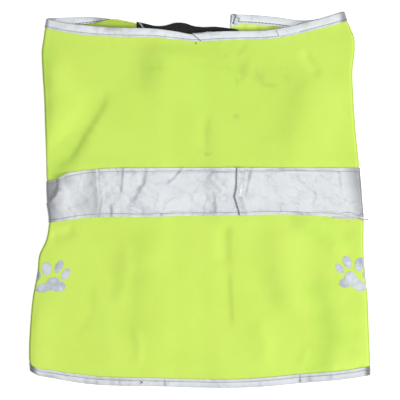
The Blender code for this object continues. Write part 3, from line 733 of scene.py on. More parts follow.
def tape_look(name, light, dark, crumple, metallic, fold_shades, shade_patches, calm_before=None):
    """Silver tape: fine beads on cloth, with painted shade in its creases, in patches and where it folds
    round the sides.

    Before the place calm_before it has few creases.
    """
    look = Look(name, 0.45, metallic=metallic, specular=0.4)
    beads = look.lumps(look.flat, 0.5, 1.0)
    wander = look.vectors("MULTIPLY", look.lumps(look.flat, 9, output="Color"), (0.008, 0.008, 0.0))
    creased = look.cracks(look.vectors("ADD", look.flat, wander), 13, 0.045)
    creased = look.times(creased, look.ranged(look.lumps(look.place, 12), 0.47, 0.66))
    x, y, _ = look.parts(look.flat)
    if calm_before is not None:
        lively = look.ranged(x, (calm_before - 4) * MM, (calm_before + 4) * MM, 0.2, 1.0)
        creased = look.times(creased, lively)
    rubbed = look.ranged(look.lumps(look.place, 24, 3.0), 0.36, 0.68)
    # Painted shade: the crease lines are darkened towards grey
    colour = look.tinted(look.times(creased, 0.30), look.tinted(rubbed, light, dark), CREASE_PAINTED_SHADE)
    # Painted shade: the patches and the folds below darken the tape and make it duller
    painted_shades = [look.spots(look.place, shade_patches)]
    for fold in fold_shades:
        along = look.sums("ADD", x, look.times(y, fold.lean))
        up = look.ranged(along, (fold.place - fold.before) * MM, fold.place * MM)
        down = look.ranged(along, fold.place * MM, (fold.place + fold.after) * MM, 1.0, 0.0)
        painted_shades.append(look.times(look.times(up, down), fold.strength))
    painted_shade = look.strongest(*painted_shades)
    grain = look.ranged(beads, 0.3, 0.7, 0.38, 0.50)
    folds = look.bumped(creased, -0.10, crumple)
    folds = look.bumped(look.lumps(look.flat, 6.0), 0.16, crumple, folds)
    return look.finish(base_color=look.tinted(painted_shade, colour, PAINTED_SHADE_GREY),
                       metallic=look.ranged(painted_shade, 0.0, 1.0, metallic, 0.0),
                       roughness=look.strongest(grain, look.times(painted_shade, 0.9)),
                       normal=look.bumped(beads, 0.03, 0.3, folds))


def stretch_look():
    """Black ribbed stretch cloth, with grey lint and a painted highlight that makes its ribs greyer in
    stripes.
    """
    look = Look("Black stretch", 0.85, sheen=0.08, specular=0.2)
    across = look.ribs(look.flat, 1.5, "X", 0.5)
    lint = look.ranged(look.lumps(look.place, 1.6, 3.0), 0.60, 0.74)
    # Painted highlight: the ribs' wave tints the black greyer where they would catch the light
    colour = look.tinted(across, (0.010, 0.011, 0.011), (0.020, 0.021, 0.022))
    ribbed = look.bumped(across, 0.25, 0.6)
    return look.finish(base_color=look.tinted(look.times(lint, 0.35), colour, (0.09, 0.09, 0.09)),
                       normal=look.bumped(look.ribs(look.flat, 0.6, "Y", 0.8), 0.08, 0.5, ribbed))


# Painted highlights on the paw prints, and painted shade on them
PRINT_PAINTED_HIGHLIGHTS = table(
    SPOT, (-159, -72, 9, 1), (-142.6, -74, 6, 0.6), (-139, -78, 8, 0.6), (-165, -91.6, 6, 0.6),
    (-144.6, -93.6, 5, 0.7), (157.6, -80, 8, 1), (160.4, -85, 8, 1), (166, -90, 10, 1), (163, -71, 5, 0.9),
    (154.6, -66.4, 3, 0.8), (145.4, -74.6, 4, 0.5),
)
PRINT_PAINTED_SHADES = table(
    SPOT, (-149.2, -67.4, 6, 0.8), (-171, -79, 9, 1), (167.6, -64, 6, 0.6), (148.6, -88.6, 7, 0.5),
    (153, -89, 4, 0.5), (176, -77, 10, 1), (150.6, -62, 5, 0.3),
)


def print_look():
    """Silver transfer print: a thin film with fine cracks, with painted highlights and painted shade in
    spots.
    """
    look = Look("Silver print", 0.4, metallic=0.3, specular=0.4)
    cracked = look.cracks(look.place, 2.4, 0.07)
    patchy = look.ranged(look.lumps(look.place, 5.0), 0.35, 0.65)
    colour = look.tinted(patchy, (0.435, 0.470, 0.515), (0.405, 0.440, 0.485))
    # Painted highlights, then painted shade, in spots over the print
    colour = look.tinted(look.spots(look.place, PRINT_PAINTED_HIGHLIGHTS), colour, (0.585, 0.620, 0.655))
    colour = look.tinted(look.spots(look.place, PRINT_PAINTED_SHADES), colour, (0.300, 0.330, 0.370))
    return look.finish(base_color=look.tinted(look.times(cracked, 0.12), colour, (0.42, 0.52, 0.25)),
                       roughness=look.ranged(patchy, 0.0, 1.0, 0.40, 0.5),
                       normal=look.bumped(cracked, -0.03, 0.4))


def thread_look(name, light, dark):
    """Spun thread: two shades twisted together."""
    look = Look(name, 0.7, sheen=0.2)
    twist = look.ranged(look.lumps(look.place, 0.7), 0.4, 0.6)
    return look.finish(base_color=look.tinted(twist, light, dark),
                       normal=look.bumped(look.lumps(look.place, 0.35), 0.05, 0.5))


cloth_finish = cloth_look("Yellow knit", light=(0.595, 0.803, 0.124), dark=(0.574, 0.780, 0.113),
                          lit=(0.613, 0.820, 0.134), painted_shade_green=(0.522, 0.766, 0.106))
# Painted shade: the same yellow, darker, for the cloth's reverse, which lies in the coat's shade
shaded_reverse_finish = cloth_look("Yellow knit, reverse, painted shade", light=(0.44, 0.60, 0.075), dark=(0.40, 0.56, 0.066),
                            lit=(0.46, 0.62, 0.082), painted_shade_green=(0.40, 0.58, 0.066), painted_lights=PAINTED_LIGHT_SPOTS)
band_finish = tape_look("Reflective tape", (0.520, 0.540, 0.556), (0.475, 0.498, 0.522), crumple=0.6,
                        metallic=0.5, fold_shades=BAND_FOLD_SHADES, shade_patches=BAND_PAINTED_SHADES, calm_before=-104)
hem_finish = tape_look("Hem tape", (0.560, 0.585, 0.610), (0.505, 0.530, 0.562), crumple=0.5,
                       metallic=0.35, fold_shades=HEM_FOLD_SHADES, shade_patches=HEM_PAINTED_SHADES)
neck_finish = tape_look("Neck tape", (0.600, 0.628, 0.650), (0.560, 0.590, 0.612), crumple=0.4,
                        metallic=0.35, fold_shades=NECK_FOLD_SHADES, shade_patches=NECK_PAINTED_SHADES)
stretch_finish = stretch_look()
print_finish = print_look()
seam_thread = thread_look("Seam thread", (0.20, 0.21, 0.23), (0.13, 0.14, 0.16))
dark_thread = thread_look("Dark thread", (0.045, 0.05, 0.05), (0.02, 0.022, 0.022))
pale_thread = thread_look("Pale thread", (0.66, 0.68, 0.62), (0.52, 0.55, 0.48))
fray_finish = thread_look("Frayed thread", (0.24, 0.20, 0.23), (0.15, 0.12, 0.14))
scrim_finish = thread_look("Scrim backing", (0.60, 0.58, 0.50), (0.50, 0.48, 0.42))
shade_and_edge_line = thread_look("Dark line, mostly painted shade", (0.20, 0.21, 0.22), (0.13, 0.14, 0.15))


# The cloth and its trims

ROLL_SHARE = 0.6


def on_back(column):
    """0 on the wings, which lie on the surface, and 1 on the back, reached within a share of each roll."""
    return step((np.minimum(column, LAST - column) - LEFT_ROLL) / ROLL_SHARE)


def coat_cloth():
    columns = spread(18, 12, 158)
    rows = stretches(5, 86, 22, 66, 5)
    point, normal, _ = sheet_frame(columns[:, None], rows[None, :])
    half = CLOTH_WALL / 2
    return wall("cloth_shell", point + half * normal, point - half * normal, cloth_finish, shaded_reverse_finish)


# The band's two stitch lines, as shares of its height, and how wide they draw it down
BAND_LOW_SEAM = 0.065
BAND_HIGH_SEAM = 0.935
BAND_PINCH = 0.03
BAND_LIP = 0.06
# The band's facets: a height, a size and a seed, large ones and small ones
LARGE_FACETS = (0.26, 14, 31)
SMALL_FACETS = (0.11, 6.5, 32)
SMALL_FACET_LEAN = 0.4
FACET_WARP = 3.0
WARP_CELL = 9
# How much of its stand the band loses at its stitches
BAND_DRAWN = 0.6
# The calm stretch of the band, which has hardly any facets
CALM_X = -130
CALM_REACH = 26
CALM_SHARE = 0.8
# Places on the band that need finer columns for their sharp folds, and how far these go
SHARP_FOLDS = (-155, -147, 35.5)
SHARP_REACH = 9


def band_crumple(column, row, point):
    """How far the band stands off the cloth: a crumpled tape, drawn down along both stitch lines."""
    x, y = point[..., 0], point[..., 1]
    share = row - BAND_START
    pinch = bell((share - BAND_LOW_SEAM) / BAND_PINCH) + bell((share - BAND_HIGH_SEAM) / BAND_PINCH)
    patchy = step(0.5 + 0.9 * noise(x, y, 27, 35))
    warped_x = x + FACET_WARP * noise(x, y, WARP_CELL, 36)
    warped_y = y + FACET_WARP * noise(x, y, WARP_CELL, 37)
    height, cell, seed = LARGE_FACETS
    bent = height * (facets(warped_x, warped_y, cell, seed) + 1)
    height, cell, seed = SMALL_FACETS
    leaning = warped_x + SMALL_FACET_LEAN * warped_y
    bent = bent + height * (facets(leaning, warped_y, cell, seed) + 1) * mix(0.4, 1, patchy)
    bent = bent * (1 - CALM_SHARE * np.exp(-(((x - CALM_X) / CALM_REACH) ** 4)))
    lip = BAND_LIP * (noise(x, y, 4.5, 34) + 1) * (np.minimum(share, 1 - share) < BAND_LOW_SEAM)
    stand = (LEAST_STAND + bent) * (1 - BAND_DRAWN * np.clip(pinch, 0, 1)) + lip
    return np.maximum(stand + crease_height(BAND_CREASES, x, y), LEAST_STAND) * on_back(column)


def band_face(column, row):
    """Points on the band's outer and inner faces, and their normals."""
    point, normal, _ = sheet_frame(column, row)
    stand = band_crumple(column, row, point)[..., None]
    low = CLOTH_WALL / 2 + GAP
    return point + (low + TRIM_WALL + stand) * normal, point + (low + 0.5 * stand) * normal, normal


def reflective_band():
    sharp = [np.linspace(back_column(x, 0), back_column(x + SHARP_REACH, 0), 24) for x in SHARP_FOLDS]
    columns = np.unique(np.concatenate([spread(36, 14, 320), *sharp]))
    rows = np.linspace(BAND_START, UPPER_START, 57)
    outer, inner, _ = band_face(columns[:, None], rows[None, :])
    return wall("band_tape", outer, inner, band_finish)


# The seams of the bindings, as shares of their width from the low edge at 0 to the folded edge at 1
NECK_SEAM = 0.23
HEM_SEAM = 0.36
BINDING_SHARES = (*np.linspace(0, 0.95, 8), 0.98, 1.0)
BINDING_TURN_STEPS = 5
# How far a binding stands off: at least, where it rounds, at its lip, and in ripples of a size and a seed
BINDING_STAND = 0.03
BINDING_ROUND = 0.12
BINDING_LIP = 0.05
BINDING_RIPPLES = ((0.05, 4.2, 41), (0.09, 11, 42))
# How much of that it loses at its stitches, and on its inner side
SEAM_HALF_WIDTH = 0.06
BINDING_DRAWN = 0.6
INSIDE_DRAWN = 0.7

# Creases across the hem binding: a place, a half width and a depth
BINDING_NICKS = table(
    "x width depth", (-108, 1.2, 0.35), (-84, 0.9, 0.5), (-37, 1.2, 0.55), (-33, 0.8, 0.4), (12, 0.8, 0.2),
    (60, 0.8, 0.2), (103.5, 0.9, 0.8), (113, 1.8, 0.5),
)
NICK_Y = -190
NICK_LEAN = 0.12
NICK_SHARE = 0.9
# The bulge beside a crease: a height for its depth, and a place and a width in widths of the crease
BULGE_HEIGHT = 0.22
BULGE_AT = 2.4
BULGE_WIDTH = 1.8


def binding_swell(column, share, point, seam, outside):
    """How far a binding stands off: rounded towards its folded edge, and drawn in at the stitches."""
    x, y = point[..., 0], point[..., 1]
    rounded = BINDING_ROUND * np.sin(np.pi * np.clip((share - seam) / (1.1 - seam), 0, 1))
    lip = BINDING_LIP * step((seam - share) / seam)
    ripple = sum(height * (noise(x, y, cell, seed) + 1) for height, cell, seed in BINDING_RIPPLES)
    drawn = 1 - BINDING_DRAWN * bell((share - seam) / SEAM_HALF_WIDTH)
    for nick in BINDING_NICKS:
        away = (x + NICK_LEAN * (y - NICK_Y) - nick.x) / nick.width
        drawn = drawn * (1 - NICK_SHARE * nick.depth * bell(away) * (y < 0))
        ripple = ripple + BULGE_HEIGHT * nick.depth * bell((away - BULGE_AT) / BULGE_WIDTH) * (y < 0)
    free = on_back(column) if outside else 1 - INSIDE_DRAWN * on_back(column)
    return (BINDING_STAND + rounded + lip + ripple) * drawn * free


def binding_face(low_column, edge_column, low_row, edge_row, lift, seam, share, outside):
    """Points on both faces of a binding's one side at a share of its width, and their normals."""
    column = mix(low_column, edge_column, share)
    point, normal, _ = sheet_frame(column, mix(low_row, edge_row, share))
    stand = CLOTH_WALL / 2 + GAP + lift
    swell = binding_swell(column, share, point, seam, outside)
    sign = 1 if outside else -1
    face = point + sign * (stand + TRIM_WALL + swell)[..., None] * normal
    back = point + sign * (stand + 0.5 * swell)[..., None] * normal
    return face, back, sign * normal


def binding(name, low_columns, edge_columns, low_row, edge_row, lift, seam, look):
    """A strip folded over an edge of the sheet: outside, round the edge and inside."""
    shares = np.unique((*BINDING_SHARES, seam - SEAM_HALF_WIDTH, seam, seam + SEAM_HALF_WIDTH))
    at = [values[:, None] for values in (low_columns, edge_columns, low_row, edge_row, lift)]
    face_out, back_out, _ = binding_face(*at, seam, shares[None, :], True)
    face_in, back_in, _ = binding_face(*at, seam, shares[None, :], False)
    edge, normal, outward = sheet_frame(edge_columns, edge_row)
    at_hem = edge_row[0] == 0
    if at_hem:
        outward = -outward
    outer = list(np.moveaxis(face_out, 1, 0))
    inner = list(np.moveaxis(back_out, 1, 0))
    middle_out = np.linalg.norm(face_out[:, -1] - edge, axis=-1)
    middle_in = np.linalg.norm(face_in[:, -1] - edge, axis=-1)
    for turn in np.linspace(0, np.pi, BINDING_TURN_STEPS + 2)[1:-1]:
        middle = np.where(turn < np.pi / 2, middle_out, middle_in)
        side = middle * np.cos(turn)
        past = (GAP + lift + TRIM_WALL) * np.sin(turn)
        outer.append(edge + side[:, None] * normal + past[:, None] * outward)
        share = (CLOTH_WALL / 2 + GAP + lift) / middle
        past = (GAP + lift) * np.sin(turn)
        inner.append(edge + (side * share)[:, None] * normal + past[:, None] * outward)
    outer += list(np.moveaxis(face_in, 1, 0))[::-1]
    inner += list(np.moveaxis(back_in, 1, 0))[::-1]
    order = -1 if at_hem else 1
    return wall(name, np.stack(outer[::order], 1), np.stack(inner[::order], 1), look)


nick_columns = [back_column(nick.x + beside * nick.width, NICK_Y) for nick in BINDING_NICKS
                for beside in (-1.5, -0.8, -0.35, 0, 0.35, 0.8, 1.5)]
hem_columns = np.unique(np.concatenate((spread(30, 12, 200), nick_columns)))
hem_lift = np.zeros(len(hem_columns))
hem_strip = (hem_columns, hem_columns, hem_lift + LOWER_START, hem_lift, hem_lift, HEM_SEAM)

all_columns = spread(34, 14, 190)
lap_start, lap_low, lap_end, lap_settled = (
    back_column(x, LAP_Y) for x in (LAP_START, LAP_LOW, LAP_END, LAP_SETTLED)
)

# The width of the left strip on its wing, as a share of its full width, where it twists under
TAPER = table("x share", (-91.4, 0.05), (-97.7, 0.15), (-104.0, 0.38), (-114.4, 0.68), (-120.6, 0.78),
              (-135.0, 1.0))
taper_columns = np.array([left_wing_column(row.x) for row in TAPER])
left_columns = np.concatenate((
    np.linspace(taper_columns[0], taper_columns[-1], 24, endpoint=False),
    all_columns[(all_columns > taper_columns[-1]) & (all_columns < lap_end)],
))
taper = np.interp(left_columns, taper_columns, [row.share for row in TAPER])
left_edge = np.full(len(left_columns), NECK_END)
left_strip = (left_columns, left_columns, left_edge - taper, left_edge, 0 * left_edge, NECK_SEAM)

slant = np.linspace(0, 1, 7)
after_lap = all_columns[all_columns > lap_end]
right_edge_columns = np.concatenate((mix(lap_start, lap_end, slant), after_lap))
right_low_columns = np.concatenate((mix(lap_low, lap_end, slant), after_lap))
right_edge = np.full(len(right_edge_columns), NECK_END)
right_lift = LAP_LIFT * (1 - step((right_edge_columns - lap_end) / (lap_settled - lap_end)))
right_strip = (right_low_columns, right_edge_columns, right_edge - 1, right_edge, right_lift, NECK_SEAM)


# Slack of the black panel: a height, a size and a seed, and what it gains towards its top edge
PANEL_SLACK = ((0.35, 14, 51), (0.12, 4, 52))
PANEL_TOP_SLACK = 1.1
PANEL_COLUMNS, PANEL_LEVEL_ROWS, PANEL_FAN_ROWS = 90, 70, 50


def panel_rows(x, top_of_climb):
    """The y of the panel's rows: level ones up to past the band, then fanned out to its top edge."""
    level = np.linspace(PANEL_HEM, top_of_climb, PANEL_LEVEL_ROWS, endpoint=False)
    fan = np.linspace(0, 1, PANEL_FAN_ROWS)
    upper = mix(top_of_climb, panel_top(x)[:, None], fan[None, :])
    return np.concatenate((np.broadcast_to(level, (len(x), len(level))), upper), axis=1)


def belly_panel():
    """The black panel inside the coat: over both wings' ends, and on the surface between them."""
    climb_from = float(band_low(BAND[0].x)) - 2 * RAMP
    climb_to = float(band_high(BAND[-1].x)) + 2 * RAMP
    x = np.linspace(PANEL_LEFT, PANEL_RIGHT, PANEL_COLUMNS)
    y = panel_rows(x, climb_to)
    x = np.broadcast_to(x[:, None], y.shape)
    on_left = step((LEFT_WING_END + PANEL_DIP - x) / (PANEL_DIP - 1))
    on_right = step((x - RIGHT_WING_END + PANEL_DIP) / (PANEL_DIP - 1))
    on_wings = np.maximum(on_left, on_right)
    at_band = step((y - climb_from) / RAMP) * step((climb_to - y) / RAMP)
    at_top = step((y - PANEL_TOP_RISE_FROM) / PANEL_TOP_RISE)
    on_surface = TRIM_WALL / 2
    on_wing = on_surface + GAP + LAYER * (1 + np.maximum(at_band, at_top))
    slack = sum(height * (noise(x, y, cell, seed) + 1) for height, cell, seed in PANEL_SLACK)
    free = (1 - on_wings) * (0.4 + 0.6 * at_top)
    z = mix(on_surface, on_wing, on_wings) + slack * free + PANEL_TOP_SLACK * at_top * free
    middle = np.stack((x, y, z), axis=-1)
    normal = unit(np.cross(np.gradient(middle, axis=0), np.gradient(middle, axis=1)))
    half = TRIM_WALL / 2
    return wall("belly_cloth", middle + half * normal, middle - half * normal, stretch_finish)


def tube_faces(first, rings, sides, flip):
    """Quads round a tube from its first point on, ring by ring, and its two end caps."""
    faces = []
    for ring in range(rings - 1):
        for k in range(sides):
            a = first + ring * sides + k
            b = first + ring * sides + (k + 1) % sides
            faces.append((b, a, a + sides, b + sides) if flip else (a, b, b + sides, a + sides))
    last = first + (rings - 1) * sides
    start, end = tuple(range(first, first + sides)), tuple(range(last, last + sides))
    return faces + ([start, end[::-1]] if flip else [start[::-1], end])


# Rings of a stitch: a place from -1 to 1 along it, and a share of its radius
STITCH_RINGS = ((-1.0, 0.3), (-0.8, 0.9), (0.0, 1.0), (0.8, 0.9), (1.0, 0.3))
STITCH_SIDES = 6
# How far a stitch's middle rises and its ends dip, in radii
STITCH_RISE = 0.1
STITCH_DIP = 0.5


def stitches(name, seams, look, pitch=3.0, length=2.9, radius=0.25):
    """A row of short threads along each seam, given as points on a face and their normals."""
    points, faces = [], []
    for line, normals in seams:
        gone = gone_along(line)
        for centre in np.arange(pitch / 2, gone[-1] - pitch / 2, pitch):
            start, middle, end = (np.array([np.interp(s, gone, line[:, k]) for k in range(3)])
                                  for s in (centre - length / 2, centre, centre + length / 2))
            up = unit(np.array([np.interp(centre, gone, normals[:, k]) for k in range(3)]))
            run = unit(end - start)
            side = np.cross(up, run)
            faces += tube_faces(len(points), len(STITCH_RINGS), STITCH_SIDES, True)
            for along, thick in STITCH_RINGS:
                rise = (STITCH_RISE - STITCH_DIP * along ** 2) * radius
                spine = middle + 0.5 * length * along * run + rise * up
                for turn in 2 * np.pi * np.arange(STITCH_SIDES) / STITCH_SIDES:
                    points.append(spine + radius * thick * (np.cos(turn) * side + np.sin(turn) * up))
    return add_mesh(name, points, faces, look, sharp=80)


# How far a seam of the band wanders, and the columns between which the lower one is loose
SEAM_WANDER = 0.006
LOOSE_WANDER = 0.035
LOOSE_FROM = 2.93
LOOSE_TO = 3.02


def band_seam(share):
    """One of the band's seams. The lower one wanders where it is loose, at the right."""
    columns = np.linspace(0.02, LAST - 0.02, 1400)
    wander = SEAM_WANDER * noise(columns * 60, share * 90, 4, 61)
    loose = step((columns - LOOSE_FROM) / 0.02) * step((LOOSE_TO - columns) / 0.03) * (share < 0.5)
    rows = BAND_START + share + wander + LOOSE_WANDER * loose * np.sin((columns - LOOSE_FROM) * 60)
    face, _, normal = band_face(columns, rows)
    return face, normal


def binding_seam(strip, outside):
    *lines, seam = strip
    places = np.linspace(0, 1, len(strip[0]))
    at = [np.interp(np.linspace(0, 1, 1200), places, values) for values in lines]
    face, _, normal = binding_face(*at, seam, seam, outside)
    return face, normal


def thread(name, points, radius, look, sides=6):
    """A closed round tube along points, of one radius or one for each point."""
    points = np.asarray(points, float)
    runs = unit(np.gradient(points, axis=0))
    side = np.cross(runs, (0.0, 0.0, 1.0))
    side /= np.linalg.norm(side, axis=1, keepdims=True) + 1e-9
    above = np.cross(side, runs)
    radii = np.broadcast_to(np.asarray(radius, float), (len(points),))
    turns = 2 * np.pi * np.arange(sides) / sides
    turns = turns[None, :, None]
    ring = np.cos(turns) * side[:, None, :] + np.sin(turns) * above[:, None, :]
    verts = (points[:, None, :] + radii[:, None, None] * ring).reshape(-1, 3)
    return add_mesh(name, verts, tube_faces(0, len(points), sides, False), look, sharp=80)


def smooth_path(points, count):
    """A smooth path of many points through a few."""
    points = np.asarray(points, float)
    gone = gone_along(points)
    at = np.linspace(0, gone[-1], count)
    slopes = np.gradient(points, gone, axis=0)
    i = np.clip(np.searchsorted(gone, at, side="right") - 1, 0, len(gone) - 2)
    span = (gone[i + 1] - gone[i])[:, None]
    return on_curve(points, slopes, i, (at - gone[i])[:, None] / span, span)


# The paw prints: ellipses with a centre in the flat cloth's plan, half sizes and a tilt to the right
# in degrees. The last one of a palm holds the middle of its outline.

PAD = "x y half_wide half_tall tilt"
UNEVEN_OUTLINE = 0.03
LEFT_TOES = table(
    PAD, (-159.2, -71.8, 5, 7, -9), (-146.5, -69.7, 3.8, 7.2, 26), (-139.4, -77.7, 4.1, 6.3, 25),
    (-170.3, -79.2, 4.7, 6, -18),
)
LEFT_PALM = table(
    PAD, (-153.1, -86.9, 7.2, 6.1, 0), (-161.5, -91.7, 9.5, 4.7, -14), (-146.6, -90.6, 7.2, 5.3, 0),
    (-153.5, -89.8, 9.5, 4.7, 0),
)
RIGHT_TOES = table(
    PAD, (145.2, -71.9, 3.6, 5.8, -27), (153.1, -64.9, 4.5, 6.9, -17), (165.7, -67.3, 4.7, 7.4, 15),
    (174.2, -77.6, 5, 6.4, 20),
)
RIGHT_PALM = table(
    PAD, (156.8, -81.2, 6.4, 6.5, -10), (151, -86.5, 6.9, 4.9, -12), (164.1, -88.7, 8.5, 5.7, 32),
    (157.2, -84.6, 7, 5.1, 0),
)
FILM_WALL = 0.10
FILM_RINGS = 9
# How far the prints go, in columns, from the roll's inner side over the roll and over the back
OVER_ROLL = 1.35
OVER_BACK = 0.35


def plan_to_sheet(x, y, right):
    """The column round the fold and the row of a place that is measured on the flat cloth.

    x is measured in plan at the fold's inner part, and goes on round the roll past the side.
    """
    row = LOWER_START + (y - hem_high(x)) / (band_low(x) - hem_high(x))
    anchor = BACK_END if right else BACK_START
    before, after = (OVER_BACK, OVER_ROLL) if right else (OVER_ROLL, OVER_BACK)
    columns = np.linspace(anchor - before, anchor + after, 900)
    line = sheet_point(columns, np.full(len(columns), float(np.mean(row))))
    gone = gone_along(line)
    gone = gone - np.interp(anchor, columns, gone)
    gone = gone + np.interp(anchor, columns, line[:, 0])
    return np.interp(x, gone, columns), row


def film(name, outline, centre, right):
    """A thin print on the cloth inside an outline round a centre, in the flat cloth's plan."""
    rings = np.linspace(0, 1, FILM_RINGS)
    places = centre[None, None, :] + rings[:, None, None] * (outline - centre)[None, :, :]
    column, row = plan_to_sheet(places[..., 0], places[..., 1], right)
    point, normal, _ = sheet_frame(column, row)
    count = len(outline)
    layers = []
    for lift in (LEAST_STAND + FILM_WALL, LEAST_STAND):
        layer = point + (CLOTH_WALL / 2 + lift) * normal
        layers.append(np.concatenate((layer[0, :1], layer[1:].reshape(-1, 3))))
    low = len(layers[0])
    faces = []

    def index(ring, k):
        return 1 + (ring - 1) * count + k % count

    for k in range(count):
        faces.append((0, index(1, k), index(1, k + 1)))
        faces.append((low, low + index(1, k + 1), low + index(1, k)))
        for ring in range(1, FILM_RINGS - 1):
            quad = (index(ring, k), index(ring + 1, k), index(ring + 1, k + 1), index(ring, k + 1))
            faces += [quad, tuple(low + corner for corner in reversed(quad))]
        near, far = index(FILM_RINGS - 1, k), index(FILM_RINGS - 1, k + 1)
        faces.append((far, near, low + near, low + far))
    return add_mesh(name, np.concatenate(layers), faces, print_finish)


def ellipse_reach(pad, centre, turns):
    """How far an ellipse reaches from a centre inside it, in each direction."""
    tilt = np.radians(pad.tilt)
    away = np.array((pad.x, pad.y)) - centre

    def scaled(x, y):
        return ((x * np.cos(tilt) - y * np.sin(tilt)) / pad.half_wide,
                (x * np.sin(tilt) + y * np.cos(tilt)) / pad.half_tall)

    dx, dy = scaled(np.cos(turns), np.sin(turns))
    ox, oy = scaled(-away[0], -away[1])
    a = dx * dx + dy * dy
    b = dx * ox + dy * oy
    c = ox * ox + oy * oy - 1
    return (-b + np.sqrt(np.maximum(b * b - a * c, 0))) / a


def outline_of(pads, sides=64):
    """The outline round ellipses which all hold the middle of the last one, and that middle."""
    centre = np.array((pads[-1].x, pads[-1].y))
    turns = np.linspace(0, 2 * np.pi, sides, endpoint=False)
    reach = np.max([ellipse_reach(pad, centre, turns) for pad in pads], axis=0)
    reach = reach * (1 + UNEVEN_OUTLINE * noise(turns * 9, pads[-1].x, 1.7, 71))
    return centre + reach[:, None] * np.stack((np.cos(turns), np.sin(turns)), -1), centre


def paw(side, toes, palm, right):
    """The films of one paw print."""
    made = [film(f"paw_{side}_toe_{i + 1}", *outline_of((toe,), 36), right) for i, toe in enumerate(toes)]
    return made + [film(f"paw_{side}_palm", *outline_of(palm), right)]


# The pieces

cloth = coat_cloth()
band = reflective_band()
hem = binding("hem_tape", *hem_strip, hem_finish)
neck_left = binding("neck_tape_left", *left_strip, neck_finish)
neck_right = binding("neck_tape_right", *right_strip, neck_finish)
belly = belly_panel()
band_stitches = stitches("band_stitches", [band_seam(BAND_LOW_SEAM), band_seam(BAND_HIGH_SEAM)], seam_thread)
hem_stitches = stitches("hem_stitches", [binding_seam(hem_strip, outside) for outside in (True, False)],
                        seam_thread)
neck_stitches, inner_stitches = (
    stitches(name, [binding_seam(left_strip, outside), binding_seam(right_strip, outside)], *how)
    for name, outside, how in (("neck_stitches", True, (seam_thread,)),
                               ("inner_stitches", False, (dark_thread, 3.6, 3.35, 0.36)))
)
paws = paw("left", LEFT_TOES, LEFT_PALM, False) + paw("right", RIGHT_TOES, RIGHT_PALM, True)


def ground(*objects):
    """A search tree of several pieces, to lay a small thing on them."""
    points, polygons = [], []
    for piece in objects:
        first = len(points)
        points += [vertex.co for vertex in piece.data.vertices]
        polygons += [[first + corner for corner in polygon.vertices] for polygon in piece.data.polygons]
    return BVHTree.FromPolygons(points, polygons)


DROP_FROM = 0.1


def drop(tree, x, y, beside=0.4):
    """The height of what lies below a place, or the height given for places beside it all."""
    heights = np.zeros(np.broadcast(x, y).shape)
    for index in np.ndindex(heights.shape):
        start = ((x[index] - CENTRE[0]) * MM, (y[index] - CENTRE[1]) * MM, DROP_FROM)
        hit = tree.ray_cast(Vector(start), Vector((0, 0, -1)))[0]
        heights[index] = hit[2] / MM if hit is not None else beside
    return heights


def relaxed(heights, rounds):
    """Heights smoothed over their neighbours, so that a stiff scrap bridges small steps."""
    for _ in range(rounds):
        padded = np.pad(heights, 1, mode="edge")
        around = (padded[:-2, 1:-1] + padded[2:, 1:-1] + padded[1:-1, :-2] + padded[1:-1, 2:]) / 4
        heights = np.maximum(heights, around)
    return heights


RELAXING_ROUNDS = 6
# Small bumps of a scrap: a share of its dome, a size and a seed
SCRAP_BUMPS = (0.25, 2.4, 83)


def flap(name, corners, tree, look, thick, dome, wedge=1.0, ragged=0.0, size=(24, 14)):
    """A small scrap between four corners, laid on what is below it.

    wedge is the share of its thickness that is left at its far end, and ragged frays one side.
    """
    low_left, low_right, high_right, high_left = (np.array(corner, float) for corner in corners)
    u = np.linspace(0, 1, size[0])[:, None, None]
    v = np.linspace(0, 1, size[1])[None, :, None]
    place = mix(mix(low_left, low_right, u), mix(high_left, high_right, u), v)
    u, v = u[..., 0], v[..., 0]
    for share, start, cell, seed in ((1, 0.0, 1.7, 81), (0.5, 3.0, 0.8, 82)):
        place[..., 1] += share * ragged * noise(place[..., 0], start, cell, seed) * (1 - v)
    below = relaxed(drop(tree, place[..., 0], place[..., 1]), RELAXING_ROUNDS) + LEAST_STAND
    swell = dome * np.sin(np.pi * u) ** 0.5 * np.sin(np.pi * v) ** 0.5
    share, cell, seed = SCRAP_BUMPS
    swell = swell + share * dome * noise(place[..., 0], place[..., 1], cell, seed)
    bottom = np.concatenate((place, (below + 0.7 * swell)[..., None]), -1)
    top = np.concatenate((place, (below + thick * mix(1, wedge, u) + swell)[..., None]), -1)
    return wall(name, top, bottom, look)


def laid_path(tree, points, count, above):
    """A smooth path of plan points, laid on what is below."""
    path = smooth_path([(x, y, 0) for x, y in points], count)
    path[:, 2] = drop(tree, path[:, 0], path[:, 1]) + above
    for _ in range(4):
        path[1:-1, 2] = np.maximum(path[1:-1, 2], (path[:-2, 2] + path[2:, 2]) / 2)
    return path


def bar_tack(name, start, end, turns, reach, tree, look, radius=0.2):
    """A zigzag thread between two places, laid on what is below."""
    start, end = np.array(start, float), np.array(end, float)
    run = unit(end - start)
    side = np.array((-run[1], run[0]))
    points = [mix(start, end, i / turns) + (reach if i % 2 else -reach) * side for i in range(turns + 1)]
    plan = np.concatenate([np.linspace(a, b, 5, endpoint=False) for a, b in zip(points, points[1:])])
    heights = drop(tree, plan[:, 0], plan[:, 1]) + 0.6 * radius
    return thread(name, np.column_stack((plan, heights)), radius, look)


neck_ground = ground(cloth, neck_left, neck_right, belly)
band_ground = ground(band, cloth)
hem_ground = ground(hem)

